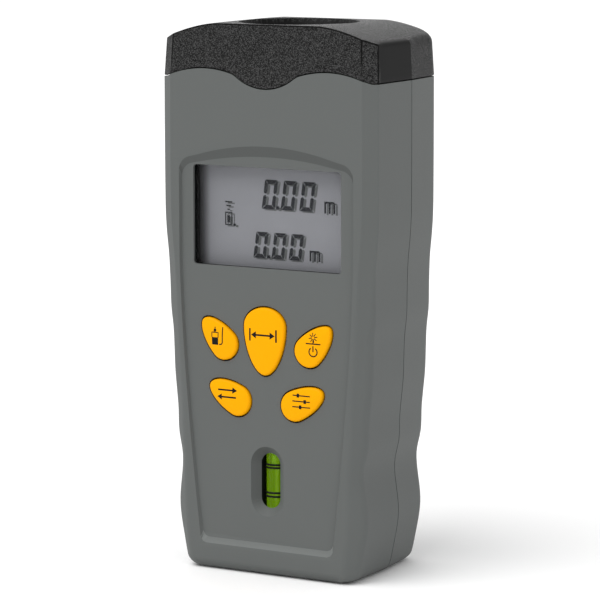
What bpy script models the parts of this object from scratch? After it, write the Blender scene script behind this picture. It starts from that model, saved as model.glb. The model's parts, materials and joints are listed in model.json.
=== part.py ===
"""Hand-held ultrasonic distance meter with a laser pointer, standing on its flat base.

The frame has +X to the right of the display, +Y towards the back and +Z up. The origin is
the middle of the base. Depths are given from the plane of the front face and turned into
world Y by depth(). All sizes are in metres, written as millimetres times MM.
"""

import math

import bmesh
import bpy
from mathutils import Matrix, Vector
from mathutils.geometry import interpolate_bezier

MM = 0.001

# Driving dimensions of the case
CASE_DEPTH = 39.0 * MM
CASE_TOP = 144.7 * MM
WALL = 2.0 * MM
FRONT_WALL = 2.8 * MM
GAP = 0.3 * MM
CAP_OVERHANG = 0.05 * MM
CAP_DRAFT = 0.55 * MM
PART_LINE = 20.3 * MM
CHAMFER_DEPTH = 2.65 * MM
REAR_SLANT = math.radians(5.5)
REAR_RADIUS = 5.2 * MM
FOOT_RADIUS = 2.6 * MM
SHOULDER = 130.2 * MM

# Height, then half width of the case at the outer edge of its front corners
SIDE_PROFILE = ((0.0, 25.4), (6.0, 26.9), (16.5, 28.6), (29.0, 27.4), (36.0, 28.7),
                (42.5, 28.95), (52.0, 29.9), (58.0, 30.1), (63.5, 30.3), (69.0, 30.9),
                (75.5, 31.0), (83.0, 31.25), (90.0, 31.9), (97.0, 32.2), (134.0, 32.2))
# Height, then half width of the flat front face
FACE_PROFILE = ((0.0, 23.2), (15.0, 24.5), (30.0, 25.1), (50.0, 25.7), (65.0, 26.6),
                (80.0, 27.5), (95.0, 28.65), (134.0, 28.7))

# Seam between case and cap: a tongue in the middle, an arch on each side of it
TONGUE_BOTTOM = 127.87 * MM
TONGUE_RADIUS = 14.3 * MM
TONGUE_HALF = 9.0 * MM
SEAM_ROUNDING = 0.5 * MM
ARCH_CREST = 132.8 * MM
ARCH_CENTRE = 18.5 * MM
ARCH_DROP = 1.75 * MM
ARCH_REACH = 10.0 * MM

# Dome of the cap across its width
DOME_FLAT = 15.0 * MM
DOME_REACH = 16.5 * MM
DOME_DROP = 4.3 * MM
DOME_POWER = 1.6

# Sunk panel of the front face
PANEL_SINK = 0.8 * MM
PANEL_TOP = 113.2 * MM
PANEL_BOTTOM = 6.9 * MM
PANEL_HALF_TOP = 26.2 * MM
PANEL_HALF_BOTTOM = 20.0 * MM
PANEL_SHOULDER = 85.0 * MM
PANEL_TOP_SLOPE = 2.8 * MM
PANEL_SIDE_SLOPE = 0.35 * MM
PANEL_LEDGE = 1.5 * MM

# Window, display and board
WINDOW_HALF = 22.25 * MM
WINDOW_LOW = 81.3 * MM
WINDOW_HIGH = 107.6 * MM
WINDOW_LIP = 0.7 * MM
BOARD_FRONT = 9.6 * MM
BOARD_BACK = 10.8 * MM

# Horn and ultrasonic transducer, both on one upright axis
HORN_DEPTH = 18.0 * MM
HORN_MOUTH_RADIUS = 15.8 * MM
HORN_THROAT_RADIUS = 7.6 * MM
HORN_THROAT = 120.8 * MM
HORN_WALL = 1.2 * MM
HORN_SPLIT = 138.2 * MM
CAN_RADIUS = 8.1 * MM

# Laser pointer
LASER_X = -23.5 * MM
LASER_DEPTH = 20.0 * MM

# Keys: centre across, centre height, turn of the wide end from straight up, length,
# half width, height of the widest place above the centre, radius of the narrow end
KEY_SHAPES = {
    "measure": (-0.5, 62.15, 0.0, 18.5, 6.55, 3.9, 2.4),
    "reference": (-14.6, 62.3, -135.5, 13.6, 4.45, 2.7, 1.6),
    "laser": (14.5, 62.3, 135.5, 13.9, 4.45, 2.7, 1.4),
    "units": (-11.2, 47.0, -116.0, 13.8, 4.4, 2.7, 1.7),
    "set": (10.9, 47.0, 116.0, 14.1, 4.3, 2.7, 1.7),
}
KEY_CROWN = -0.25 * MM
KEY_GAP = 0.35 * MM
KEY_FLANGE = 0.55 * MM

# Level vial
SLOT_CENTRE = 24.95 * MM
VIAL_DEPTH = 5.9 * MM
BUBBLE_DEPTH = 5.0 * MM
VIAL_RADIUS = 2.75 * MM
VIAL_BORE = 2.15 * MM
VIAL_LOW = 15.0 * MM
VIAL_HIGH = 34.6 * MM

# Battery, its compartment and its door
BATTERY_HALF = 13.25 * MM
BATTERY_FRONT = 19.1 * MM
BATTERY_BACK = 36.6 * MM
BATTERY_LOW = 7.0 * MM
BATTERY_HIGH = 53.3 * MM
DOOR_HALF = 17.0 * MM
DOOR_LOW = 4.0 * MM
DOOR_HIGH = 63.0 * MM
DOOR_THICKNESS = 2.0 * MM

# Case screws: across and height of each, and board screws likewise
CASE_SCREWS = ((-23.0, 121.0), (23.0, 121.0), (-21.2, 9.4), (21.2, 9.4))
BOARD_SCREWS = ((-27.2, 96.0), (27.2, 96.0), (-23.4, 47.5), (23.4, 47.5))

ROUND = 20
TINY = 0.01 * MM

PARTS = bpy.data.collections.new("distance_meter")
CUTTERS = bpy.data.collections.new("cutters")


def clear_scene():
    """Remove the objects that the file starts with."""
    for obj in list(bpy.data.objects):
        bpy.data.objects.remove(obj, do_unlink=True)
    bpy.context.scene.collection.children.link(PARTS)
    bpy.context.scene.collection.children.link(CUTTERS)


def depth(value):
    """World Y of a depth measured from the plane of the front face."""
    return value - CASE_DEPTH / 2


def material(name, colour, roughness, metallic=0.0, alpha=1.0):
    """Principled material, made once for each name."""
    found = bpy.data.materials.get(name)
    if found:
        return found
    made = bpy.data.materials.new(name)
    made.use_nodes = True
    shader = made.node_tree.nodes["Principled BSDF"]
    shader.inputs["Base Color"].default_value = (*colour, 1.0)
    shader.inputs["Roughness"].default_value = roughness
    shader.inputs["Metallic"].default_value = metallic
    shader.inputs["Alpha"].default_value = alpha
    made.diffuse_color = (*colour, alpha)
    return made


def case_plastic():
    return material("grey_case_plastic", (0.145, 0.152, 0.148), 0.55)


def cap_plastic():
    return material("black_grained_plastic", (0.03, 0.03, 0.032), 0.6)


def key_rubber():
    return material("amber_silicone", (0.93, 0.45, 0.01), 0.5)


def clear_plastic():
    return material("clear_acrylic", (0.85, 0.88, 0.88), 0.08, 0.0, 0.3)


def glass():
    return material("display_glass", (0.26, 0.25, 0.28), 0.1)


def dark_rubber():
    return material("black_rubber", (0.02, 0.02, 0.02), 0.8)


def white_plastic():
    return material("white_plastic", (0.7, 0.7, 0.68), 0.5)


def steel():
    return material("plated_steel", (0.55, 0.55, 0.56), 0.3, 1.0)


def brass():
    return material("turned_brass", (0.7, 0.5, 0.22), 0.3, 1.0)


def board_green():
    return material("green_board", (0.02, 0.16, 0.06), 0.4)


def spirit_green():
    return material("green_spirit", (0.35, 0.75, 0.03), 0.1)


def finish_object(name, mesh, place, look, group=None):
    """Object for a mesh, in a collection, with its material and smooth rounds."""
    obj = bpy.data.objects.new(name, mesh)
    obj.location = place
    (group or PARTS).objects.link(obj)
    if look:
        mesh.materials.append(look)
    mesh.shade_smooth()
    mesh.set_sharp_from_angle(angle=math.radians(30.0))
    if group is CUTTERS:
        obj.hide_render = True
        obj.display_type = "WIRE"
    return obj


def from_bmesh(name, shape, place, look, group=None):
    """Object for a bmesh whose normals are made to point outwards."""
    bmesh.ops.recalc_face_normals(shape, faces=shape.faces)
    mesh = bpy.data.meshes.new(name)
    shape.to_mesh(mesh)
    shape.free()
    return finish_object(name, mesh, place, look, group)


def box(name, low, high, look=None, place=(0.0, 0.0, 0.0), group=None):
    """Box between two corners, whose origin is at place."""
    low = Vector(low) - Vector(place)
    high = Vector(high) - Vector(place)
    shape = bmesh.new()
    stretch = Matrix.Diagonal((*(high - low), 1.0))
    bmesh.ops.create_cube(shape, size=1.0, matrix=Matrix.Translation((low + high) / 2) @ stretch)
    return from_bmesh(name, shape, place, look, group)


def rod(name, start, end, radius, look=None, segments=ROUND, end_radius=None, place=None,
        group=None):
    """Round rod or cone between two points; its origin is at place, or at the start."""
    start = Vector(start)
    end = Vector(end)
    along = end - start
    origin = Vector(start if place is None else place)
    shape = bmesh.new()
    turn = along.to_track_quat("Z", "Y").to_matrix().to_4x4()
    middle = Matrix.Translation((start + end) / 2 - origin)
    bmesh.ops.create_cone(shape, cap_ends=True, segments=segments, radius1=radius,
                          radius2=radius if end_radius is None else end_radius,
                          depth=along.length, matrix=middle @ turn)
    return from_bmesh(name, shape, origin, look, group)


def loft(name, rings, look=None, place=(0.0, 0.0, 0.0), group=None):
    """Closed solid through rings of points that all have the same count."""
    shape = bmesh.new()
    rows = [[shape.verts.new(Vector(point) - Vector(place)) for point in ring] for ring in rings]
    count = len(rows[0])
    for lower, upper in zip(rows, rows[1:]):
        for index in range(count):
            following = (index + 1) % count
            shape.faces.new((lower[index], lower[following], upper[following], upper[index]))
    shape.faces.new(rows[0])
    shape.faces.new(rows[-1])
    return from_bmesh(name, shape, place, look, group)


def turned(name, profile, look=None, centre=(0.0, 0.0), steps=ROUND, group=None):
    """Turned solid: a profile of (radius, height) swept round an upright axis."""
    mesh = bpy.data.meshes.new(name)
    points = [(radius, 0.0, height) for radius, height in profile]
    edges = [(index, index + 1) for index in range(len(points) - 1)]
    if profile[0][0] > TINY:
        edges.append((len(points) - 1, 0))
    mesh.from_pydata(points, edges, [])
    obj = finish_object(name, mesh, (centre[0], centre[1], 0.0), look, group)
    screw = obj.modifiers.new("turn", "SCREW")
    screw.axis = "Z"
    screw.angle = math.tau
    screw.steps = steps
    screw.render_steps = steps
    screw.use_merge_vertices = True
    screw.merge_threshold = TINY
    return obj


def plate(name, outline, near, far, look=None, group=None):
    """Flat piece with an outline of (across, height), between two depths."""
    curve = bpy.data.curves.new(name, "CURVE")
    curve.dimensions = "2D"
    curve.fill_mode = "BOTH"
    curve.extrude = (far - near) / 2
    spline = curve.splines.new("POLY")
    spline.points.add(len(outline) - 1)
    for point, (across, height) in zip(spline.points, outline):
        point.co = (across, height, 0.0, 1.0)
    spline.use_cyclic_u = True
    source = bpy.data.objects.new(name + "_outline", curve)
    bpy.context.scene.collection.objects.link(source)
    source.rotation_euler = (math.pi / 2, 0.0, 0.0)
    source.location = (0.0, depth((near + far) / 2), 0.0)
    bpy.context.view_layer.update()
    evaluated = source.evaluated_get(bpy.context.evaluated_depsgraph_get())
    mesh = bpy.data.meshes.new_from_object(evaluated)
    place = source.matrix_world.copy()
    bpy.data.objects.remove(source, do_unlink=True)
    shape = bmesh.new()
    shape.from_mesh(mesh)
    bmesh.ops.remove_doubles(shape, verts=shape.verts, dist=TINY)
    shape.to_mesh(mesh)
    shape.free()
    mesh.name = name
    obj = finish_object(name, mesh, (0.0, 0.0, 0.0), look, group)
    obj.matrix_world = place
    return obj


def wire(name, points, radius, look):
    """Insulated wire along a smooth path through hand-placed points."""
    path = smooth_path([Vector(point) for point in points])
    curve = bpy.data.curves.new(name, "CURVE")
    curve.dimensions = "3D"
    curve.bevel_depth = radius
    curve.bevel_resolution = 2
    curve.use_fill_caps = True
    spline = curve.splines.new("POLY")
    spline.points.add(len(path) - 1)
    for point, place in zip(spline.points, path):
        point.co = (*place, 1.0)
    obj = bpy.data.objects.new(name, curve)
    PARTS.objects.link(obj)
    curve.materials.append(look)
    return obj


def smooth_path(points, pieces=3):
    """Points on a curve that passes smoothly through the given ones."""
    path = []
    last = len(points) - 1
    for index in range(last):
        before = points[max(index - 1, 0)]
        start = points[index]
        end = points[index + 1]
        after = points[min(index + 2, last)]
        leave = start + (end - before) / 6
        arrive = end - (after - start) / 6
        path.extend(interpolate_bezier(start, leave, arrive, end, pieces + 1)[:-1])
    path.append(points[-1])
    return path


def boolean(obj, tool, operation="DIFFERENCE"):
    """Cut, join or intersect an object with a tool object."""
    modifier = obj.modifiers.new(tool.name, "BOOLEAN")
    modifier.operation = operation
    modifier.solver = "EXACT"
    modifier.object = tool
    return modifier


def cut_box(obj, low, high):
    """Cut a box out of an object."""
    name = obj.name + "_cut_%d" % len(obj.modifiers)
    boolean(obj, box(name, low, high, group=CUTTERS))


def join_box(obj, low, high):
    """Join a box to an object."""
    name = obj.name + "_join_%d" % len(obj.modifiers)
    boolean(obj, box(name, low, high, group=CUTTERS), "UNION")


def cut_rod(obj, start, end, radius, end_radius=None, segments=ROUND):
    """Cut a round or conical hole into an object."""
    name = obj.name + "_cut_%d" % len(obj.modifiers)
    tool = rod(name, start, end, radius, segments=segments, end_radius=end_radius, group=CUTTERS)
    boolean(obj, tool)


def join_rod(obj, start, end, radius, segments=ROUND):
    """Join a round rod to an object."""
    name = obj.name + "_join_%d" % len(obj.modifiers)
    boolean(obj, rod(name, start, end, radius, segments=segments, group=CUTTERS), "UNION")


def blend(table, height):
    """Smooth value of a (height, value) table in millimetres, returned in metres."""
    level = height / MM
    last = len(table) - 1
    index = 0
    while index < last - 1 and level > table[index + 1][0]:
        index += 1
    low, start = table[index]
    high, end = table[index + 1]
    share = min(max((level - low) / (high - low), 0.0), 1.0)
    before = table[max(index - 1, 0)]
    after = table[min(index + 2, last)]
    leave = (end - before[1]) / (high - before[0]) * (high - low)
    arrive = (after[1] - start) / (after[0] - low) * (high - low)
    square = share * share
    cube = square * share
    value = ((2 * cube - 3 * square + 1) * start + (cube - 2 * square + share) * leave
             + (3 * square - 2 * cube) * end + (cube - square) * arrive)
    return value * MM


def seam_height(across):
    """Height of the front seam between case and cap at a place across the width."""
    across = abs(across)
    beside = max(across, TONGUE_HALF)
    arch = ARCH_CREST - ARCH_DROP * ((beside - ARCH_CENTRE) / ARCH_REACH) ** 2
    if across >= TONGUE_RADIUS:
        return max(arch, SHOULDER)
    tongue = TONGUE_BOTTOM + TONGUE_RADIUS - math.sqrt(TONGUE_RADIUS ** 2 - across ** 2)
    near = max(SEAM_ROUNDING - abs(arch - tongue), 0.0)
    return min(arch, tongue) - near ** 2 / (4.0 * SEAM_ROUNDING)


def case_section(height, inset=0.0, front=0.0):
    """Plan outline of the case at a height, drawn in by inset on the sides and back.

    front is the depth of its front face.
    """
    half = blend(SIDE_PROFILE, height) - inset
    face = blend(FACE_PROFILE, height) - 0.8 * inset
    side_start = front + CHAMFER_DEPTH - 0.2 * inset
    back = CASE_DEPTH - inset
    slope = math.tan(REAR_SLANT)
    corner = REAR_RADIUS - 0.5 * inset
    arc_y = back - corner
    arc_x = half - slope * (arc_y - PART_LINE) - corner
    right = [(face, front), (half, side_start), (half, PART_LINE)]
    for step in range(4):
        angle = REAR_SLANT + (math.pi / 2 - REAR_SLANT) * step / 3
        right.append((arc_x + corner * math.cos(angle), arc_y + corner * math.sin(angle)))
    left = [(-across, along) for across, along in reversed(right)]
    return [(across, depth(along), height) for across, along in right + left]


def case_levels(top):
    """Heights at which the case outline is drawn, up to the top."""
    levels = [level * MM for level, _ in SIDE_PROFILE if FOOT_RADIUS < level * MM < top]
    return levels + [top]


def case_body(name):
    """Outside of the whole case below the cap, as one solid."""
    foot = FOOT_RADIUS
    rings = [case_section(0.0, foot, foot), case_section(foot * 0.3, foot * 0.3, foot * 0.3)]
    rings += [case_section(level) for level in [foot] + case_levels(134.0 * MM)]
    return loft(name, rings, case_plastic())


def case_hollow(name):
    """Space inside the case, open towards the cap."""
    levels = [2.2 * MM] + case_levels(136.0 * MM)
    rings = [case_section(level, WALL, FRONT_WALL) for level in levels]
    return loft(name, rings, group=CUTTERS)


def seam_outline(shift, down):
    """Outline on one side of the seam, as (across, height) points."""
    steps = 60
    reach = 36.0 * MM
    limit = 100.0 * MM if down else 150.0 * MM
    edge = []
    for step in range(steps + 1):
        across = -reach + 2 * reach * step / steps
        edge.append((across, seam_height(across) + shift))
    return edge + [(reach, limit), (-reach, limit)]


def panel_edge(top, bottom, half_top, half_bottom, arch_drop):
    """Closed outline of the sunk panel, as (across, height) points."""
    corner = 4.0 * MM
    right = []
    for level in (bottom + 1.5 * MM, 20.0 * MM, 35.0 * MM, 50.0 * MM, 65.0 * MM, PANEL_SHOULDER):
        fall = max((PANEL_SHOULDER - level) / (PANEL_SHOULDER - bottom), 0.0)
        right.append((half_bottom + (half_top - half_bottom) * (1 - fall ** 1.5), level))
    arch_end = half_top - corner
    arch_level = top - arch_drop * (arch_end / (20.0 * MM)) ** 2
    for step in range(4):
        angle = math.radians(10.0 + 65.0 * step / 3)
        right.append((arch_end + corner * math.cos(angle),
                      arch_level - corner * (1 - math.sin(angle))))
    for across in (16.0 * MM, 10.0 * MM, 4.0 * MM):
        right.append((across, top - arch_drop * (across / (20.0 * MM)) ** 2))
    start = [(half_bottom - 1.5 * MM, bottom)]
    right = start + right
    return right + [(-across, level) for across, level in reversed(right)]


def sunk_panel_cutter():
    """Cutter of the sunk panel, with a wide slope at its top and a ledge at its bottom."""
    outer = panel_edge(PANEL_TOP, PANEL_BOTTOM, PANEL_HALF_TOP, PANEL_HALF_BOTTOM, 2.8 * MM)
    inner = panel_edge(PANEL_TOP - PANEL_TOP_SLOPE, PANEL_BOTTOM + PANEL_LEDGE,
                       PANEL_HALF_TOP - PANEL_SIDE_SLOPE, PANEL_HALF_BOTTOM - PANEL_SIDE_SLOPE,
                       2.0 * MM)
    rings = []
    for outline, level in ((outer, -1.0 * MM), (outer, 0.0), (inner, PANEL_SINK)):
        rings.append([(across, depth(level), height) for across, height in outline])
    return loft("sunk_panel_cutter", rings, group=CUTTERS)


def egg_outline(shape, grow=0.0, pieces=4):
    """Egg-shaped outline of a key, as (across, height) points.

    grow widens the outline all round.
    """
    across, height, turn, length, half, widest, narrow = shape
    top = length / 2 * MM + grow
    bottom = -length / 2 * MM - grow
    half = half * MM + grow
    widest = widest * MM
    narrow = max(narrow * MM + grow, 0.3 * MM)
    round_handle = 0.56 * half
    up = 0.55 * (top - widest)
    down = 0.5 * (widest - bottom)
    point_handle = math.sqrt(narrow * (widest - down - bottom) / 1.5)
    quarters = (
        ((0, top), (round_handle, top), (half, widest + up), (half, widest)),
        ((half, widest), (half, widest - down), (point_handle, bottom), (0, bottom)),
        ((0, bottom), (-point_handle, bottom), (-half, widest - down), (-half, widest)),
        ((-half, widest), (-half, widest + up), (-round_handle, top), (0, top)),
    )
    angle = math.radians(turn)
    outline = []
    for quarter in quarters:
        knots = [Vector((u, v, 0.0)) for u, v in quarter]
        for point in interpolate_bezier(*knots, pieces + 1)[:-1]:
            outline.append((across * MM + point.x * math.cos(angle) - point.y * math.sin(angle),
                            height * MM + point.x * math.sin(angle) + point.y * math.cos(angle)))
    return outline


def at_depth(outline, level):
    """Points of an outline at a depth."""
    return [(across, depth(level), height) for across, height in outline]


def slot_outline(half, half_height, steps=8):
    """Slot with round ends, as (across, height) points round its middle."""
    outline = []
    for side, start in ((1, 0.0), (-1, math.pi)):
        for step in range(steps + 1):
            angle = start + math.pi * step / steps
            outline.append((half * math.cos(angle),
                            SLOT_CENTRE + side * (half_height - half) + half * math.sin(angle)))
    return outline


def slot_cutter():
    """Cutter of the slot over the vial, with its sloping rim."""
    outer = slot_outline(4.95 * MM, 9.35 * MM)
    inner = slot_outline(2.85 * MM, 7.35 * MM)
    rings = [at_depth(outer, -1.0 * MM), at_depth(outer, PANEL_SINK),
             at_depth(inner, FRONT_WALL), at_depth(inner, FRONT_WALL + 1.0 * MM)]
    return loft("slot_cutter", rings, group=CUTTERS)


def build_front_shell():
    """Front half of the case: sunk panel, window, key holes, slot and screw posts."""
    shell = case_body("front_shell")
    boolean(shell, box("front_half_cut", (-0.1, depth(PART_LINE - GAP / 2), -0.1),
                       (0.1, 0.1, 0.2), group=CUTTERS))
    boolean(shell, case_hollow("front_hollow"))
    for across, height in CASE_SCREWS:
        join_rod(shell, (across * MM, depth(2.4 * MM), height * MM),
                 (across * MM, depth(PART_LINE - GAP / 2), height * MM), 3.0 * MM, 12)
    for across, height in BOARD_SCREWS:
        join_rod(shell, (across * MM, depth(2.4 * MM), height * MM),
                 (across * MM, depth(BOARD_FRONT - GAP), height * MM), 1.7 * MM, 10)
    for across, height in CASE_SCREWS:
        cut_rod(shell, (across * MM, depth(8.5 * MM), height * MM),
                (across * MM, depth(30.0 * MM), height * MM), 1.4 * MM, segments=10)
    for across, height in BOARD_SCREWS:
        cut_rod(shell, (across * MM, depth(5.6 * MM), height * MM),
                (across * MM, depth(12.0 * MM), height * MM), 0.95 * MM, segments=8)
    boolean(shell, plate("front_seam_cut", seam_outline(0.0, False), -5.0 * MM, 45.0 * MM,
                         group=CUTTERS))
    boolean(shell, sunk_panel_cutter())
    cut_box(shell, (-WINDOW_HALF, depth(-1.0 * MM), WINDOW_LOW),
            (WINDOW_HALF, depth(4.0 * MM), WINDOW_HIGH))
    cut_box(shell, (-WINDOW_HALF - 1.45 * MM, depth(PANEL_SINK + WINDOW_LIP), 79.9 * MM),
            (WINDOW_HALF + 1.45 * MM, depth(4.0 * MM), 109.1 * MM))
    for name, shape in KEY_SHAPES.items():
        outline = egg_outline(shape, KEY_GAP)
        boolean(shell, loft("key_hole_" + name, [at_depth(outline, -1.0 * MM),
                                                 at_depth(outline, 4.0 * MM)], group=CUTTERS))
    boolean(shell, slot_cutter())


def build_back_shell():
    """Back half of the case: screw bosses, battery compartment and the door's seat."""
    shell = case_body("back_shell")
    boolean(shell, box("back_half_cut", (-0.1, -0.1, -0.1),
                       (0.1, depth(PART_LINE + GAP / 2), 0.2), group=CUTTERS))
    boolean(shell, case_hollow("back_hollow"))
    cut_box(shell, (-0.1, -0.1, SHOULDER), (0.1, 0.1, 0.2))
    join_box(shell, (-16.0 * MM, depth(17.4 * MM), 4.2 * MM),
             (16.0 * MM, depth(37.6 * MM), 62.0 * MM))
    join_box(shell, (-19.0 * MM, depth(35.2 * MM), 1.0 * MM),
             (19.0 * MM, depth(37.8 * MM), 65.0 * MM))
    for across, height in CASE_SCREWS:
        join_rod(shell, (across * MM, depth(PART_LINE + GAP / 2), height * MM),
                 (across * MM, depth(37.5 * MM), height * MM), 3.3 * MM, 12)
    cut_box(shell, (-14.4 * MM, depth(18.9 * MM), 5.8 * MM),
            (14.4 * MM, depth(45.0 * MM), 60.4 * MM))
    cut_box(shell, (-DOOR_HALF - GAP, depth(36.7 * MM), DOOR_LOW - GAP),
            (DOOR_HALF + GAP, depth(45.0 * MM), DOOR_HIGH + GAP))
    for side in (-1, 1):
        middle = side * 10.75 * MM
        cut_box(shell, (middle - 1.6 * MM, depth(33.5 * MM), 2.3 * MM),
                (middle + 1.6 * MM, depth(37.5 * MM), 6.3 * MM))
    cut_box(shell, (-4.5 * MM, depth(17.0 * MM), 58.6 * MM),
            (4.5 * MM, depth(24.0 * MM), 62.5 * MM))
    for across, height in CASE_SCREWS:
        cut_rod(shell, (across * MM, depth(15.0 * MM), height * MM),
                (across * MM, depth(30.0 * MM), height * MM), 1.45 * MM, segments=10)
        cut_rod(shell, (across * MM, depth(26.0 * MM), height * MM),
                (across * MM, depth(45.0 * MM), height * MM), 2.5 * MM, segments=12)


def cap_section(height, inset, front_wall):
    """Plan outline of the cap at a height, with its draft."""
    rise = (height - SHOULDER) / (10.0 * MM)
    draft = CAP_DRAFT * rise - CAP_OVERHANG
    front = -CAP_OVERHANG + (CAP_OVERHANG + 0.65 * MM) * max(rise, 0.0) + front_wall
    ring = case_section(134.0 * MM, inset + draft, front)
    return [(across, along, height) for across, along, _ in ring]


def dome_outline(drop, bottom, half):
    """Outline of the space under the dome, as (across, height) points."""
    steps = 12
    right = []
    for step in range(steps + 1):
        across = half * step / steps
        beyond = max(across - DOME_FLAT, 0.0) / DOME_REACH
        right.append((across, CASE_TOP - drop - DOME_DROP * beyond ** DOME_POWER))
    outline = [(-across, height) for across, height in reversed(right[1:])] + right
    return outline + [(half, bottom), (-half, bottom)]


def build_cap():
    """Black cap with a domed top, the horn's mouth and the laser's exit hole."""
    levels = [124.0 * MM, SHOULDER, 140.0 * MM, 147.0 * MM]
    cap = loft("top_cap", [cap_section(level, 0.0, 0.0) for level in levels], cap_plastic())
    boolean(cap, plate("dome_limit", dome_outline(0.0, 120.0 * MM, 34.0 * MM), -5.0 * MM,
                       45.0 * MM, group=CUTTERS), "INTERSECT")
    hollow = loft("cap_hollow", [cap_section(level, WALL, WALL) for level in
                                 (122.0 * MM, SHOULDER, 140.0 * MM, 148.0 * MM)], group=CUTTERS)
    boolean(hollow, plate("hollow_limit", dome_outline(WALL, 118.0 * MM, 34.0 * MM), -5.0 * MM,
                          45.0 * MM, group=CUTTERS), "INTERSECT")
    boolean(cap, hollow)
    boolean(cap, plate("cap_seam_cut", seam_outline(GAP, True), -5.0 * MM, PART_LINE,
                       group=CUTTERS))
    cut_box(cap, (-0.1, depth(PART_LINE - TINY), 0.1), (0.1, 0.1, SHOULDER + GAP))
    axis = depth(HORN_DEPTH)
    join_rod(cap, (0.0, axis, HORN_SPLIT + GAP), (0.0, axis, CASE_TOP - 0.5 * MM), 17.2 * MM, 32)
    bore = [(0.0, 147.0 * MM), (HORN_MOUTH_RADIUS, 147.0 * MM), (HORN_MOUTH_RADIUS, CASE_TOP)]
    for level in (142.5 * MM, 140.3 * MM, 136.0 * MM):
        bore.append((horn_radius(level), level))
    bore.append((0.0, 136.0 * MM))
    boolean(cap, turned("horn_bore", bore, centre=(0.0, axis), steps=32, group=CUTTERS))
    cut_rod(cap, (LASER_X, depth(LASER_DEPTH), 139.0 * MM),
            (LASER_X, depth(LASER_DEPTH), 150.0 * MM), 2.2 * MM, segments=16)


def horn_radius(height):
    """Inner radius of the exponential horn at a height."""
    flare = math.log(HORN_MOUTH_RADIUS / HORN_THROAT_RADIUS) / (CASE_TOP - HORN_THROAT)
    return HORN_THROAT_RADIUS * math.exp(flare * (height - HORN_THROAT))


def build_horn():
    """Funnel below the cap, with a skirt that holds the transducer."""
    levels = [HORN_SPLIT, 134.0 * MM, 130.0 * MM, 125.5 * MM, HORN_THROAT]
    skirt_low = 112.0 * MM
    skirt_outer = 11.7 * MM
    skirt_inner = 10.5 * MM
    outer = [(horn_radius(level) + HORN_WALL, level) for level in levels[:-1]]
    outer += [(skirt_outer, HORN_THROAT), (skirt_outer, skirt_low), (skirt_inner, skirt_low),
              (skirt_inner, HORN_THROAT - HORN_WALL), (HORN_THROAT_RADIUS, HORN_THROAT - HORN_WALL)]
    inner = [(horn_radius(level), level) for level in reversed(levels)]
    turned("horn_funnel", outer + inner, cap_plastic(), (0.0, depth(HORN_DEPTH)), 24)


def build_transducer():
    """Ultrasonic transducer: can, grille, soft seat and base with two pins."""
    centre = (0.0, depth(HORN_DEPTH))
    low = 107.5 * MM
    high = 119.0 * MM
    bore = CAN_RADIUS - 0.5 * MM
    can = [(CAN_RADIUS, high), (CAN_RADIUS, low), (bore, low), (bore, high - 0.5 * MM),
           (6.2 * MM, high - 0.5 * MM), (6.2 * MM, high)]
    turned("transducer_can", can, steel(), centre)
    rod("transducer_mesh", (0.0, centre[1], high - 1.6 * MM), (0.0, centre[1], high - 0.8 * MM),
        bore - GAP, steel())
    seat = [(10.2 * MM, 118.9 * MM), (10.2 * MM, 112.6 * MM), (8.4 * MM, 112.6 * MM),
            (8.4 * MM, 118.9 * MM)]
    turned("transducer_seat", seat, dark_rubber(), centre)
    base = rod("transducer_base", (0.0, centre[1], low), (0.0, centre[1], low + 3.0 * MM),
               bore - GAP, dark_rubber())
    for side in (-1, 1):
        join_rod(base, (side * 2.5 * MM, centre[1], low + 1.0 * MM),
                 (side * 2.5 * MM, centre[1], low - 2.2 * MM), 0.45 * MM, 8)


def build_laser():
    """Laser pointer: barrel, diode, lens, saddle and exit window."""
    centre = (LASER_X, depth(LASER_DEPTH))
    barrel = [(3.0 * MM, 139.0 * MM), (3.0 * MM, 126.5 * MM), (2.4 * MM, 126.5 * MM),
              (2.4 * MM, 139.0 * MM)]
    turned("laser_housing", barrel, brass(), centre, 16)
    rod("laser_diode", (*centre, 126.9 * MM), (*centre, 129.6 * MM), 2.1 * MM, steel(), 14)
    rod("laser_lens", (*centre, 136.2 * MM), (*centre, 137.4 * MM), 2.1 * MM, clear_plastic(), 14)
    saddle = [(4.6 * MM, 134.5 * MM), (4.6 * MM, 129.0 * MM), (3.3 * MM, 129.0 * MM),
              (3.3 * MM, 134.5 * MM)]
    turned("laser_holder", saddle, cap_plastic(), centre, 16)
    rod("laser_window", (*centre, 141.3 * MM), (*centre, 142.1 * MM), 1.9 * MM, clear_plastic(), 16)


def build_display():
    """Window, liquid crystal display in its frame, and the rubber contact strip."""
    box("display_window", (-23.4 * MM, depth(1.8 * MM), 80.2 * MM),
        (23.4 * MM, depth(2.8 * MM), 108.8 * MM), clear_plastic())
    box("lcd_front_glass", (-23.9 * MM, depth(5.1 * MM), 78.7 * MM),
        (23.9 * MM, depth(6.1 * MM), 109.2 * MM), glass())
    box("lcd_rear_glass", (-23.9 * MM, depth(6.4 * MM), 81.6 * MM),
        (23.9 * MM, depth(7.4 * MM), 109.2 * MM), glass())
    box("lcd_reflector", (-23.4 * MM, depth(7.7 * MM), 82.0 * MM),
        (23.4 * MM, depth(8.0 * MM), 109.0 * MM), white_plastic())
    box("zebra_strip", (-20.0 * MM, depth(6.4 * MM), 78.9 * MM),
        (20.0 * MM, depth(BOARD_FRONT - GAP), 81.2 * MM), dark_rubber())
    frame = box("lcd_frame", (-25.0 * MM, depth(3.1 * MM), 77.0 * MM),
                (25.0 * MM, depth(BOARD_FRONT - GAP), 110.5 * MM), cap_plastic())
    cut_box(frame, (-22.4 * MM, depth(2.0 * MM), 81.15 * MM),
            (22.4 * MM, depth(6.0 * MM), 107.75 * MM))
    cut_box(frame, (-24.2 * MM, depth(4.8 * MM), 78.4 * MM),
            (24.2 * MM, depth(12.0 * MM), 109.5 * MM))


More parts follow.
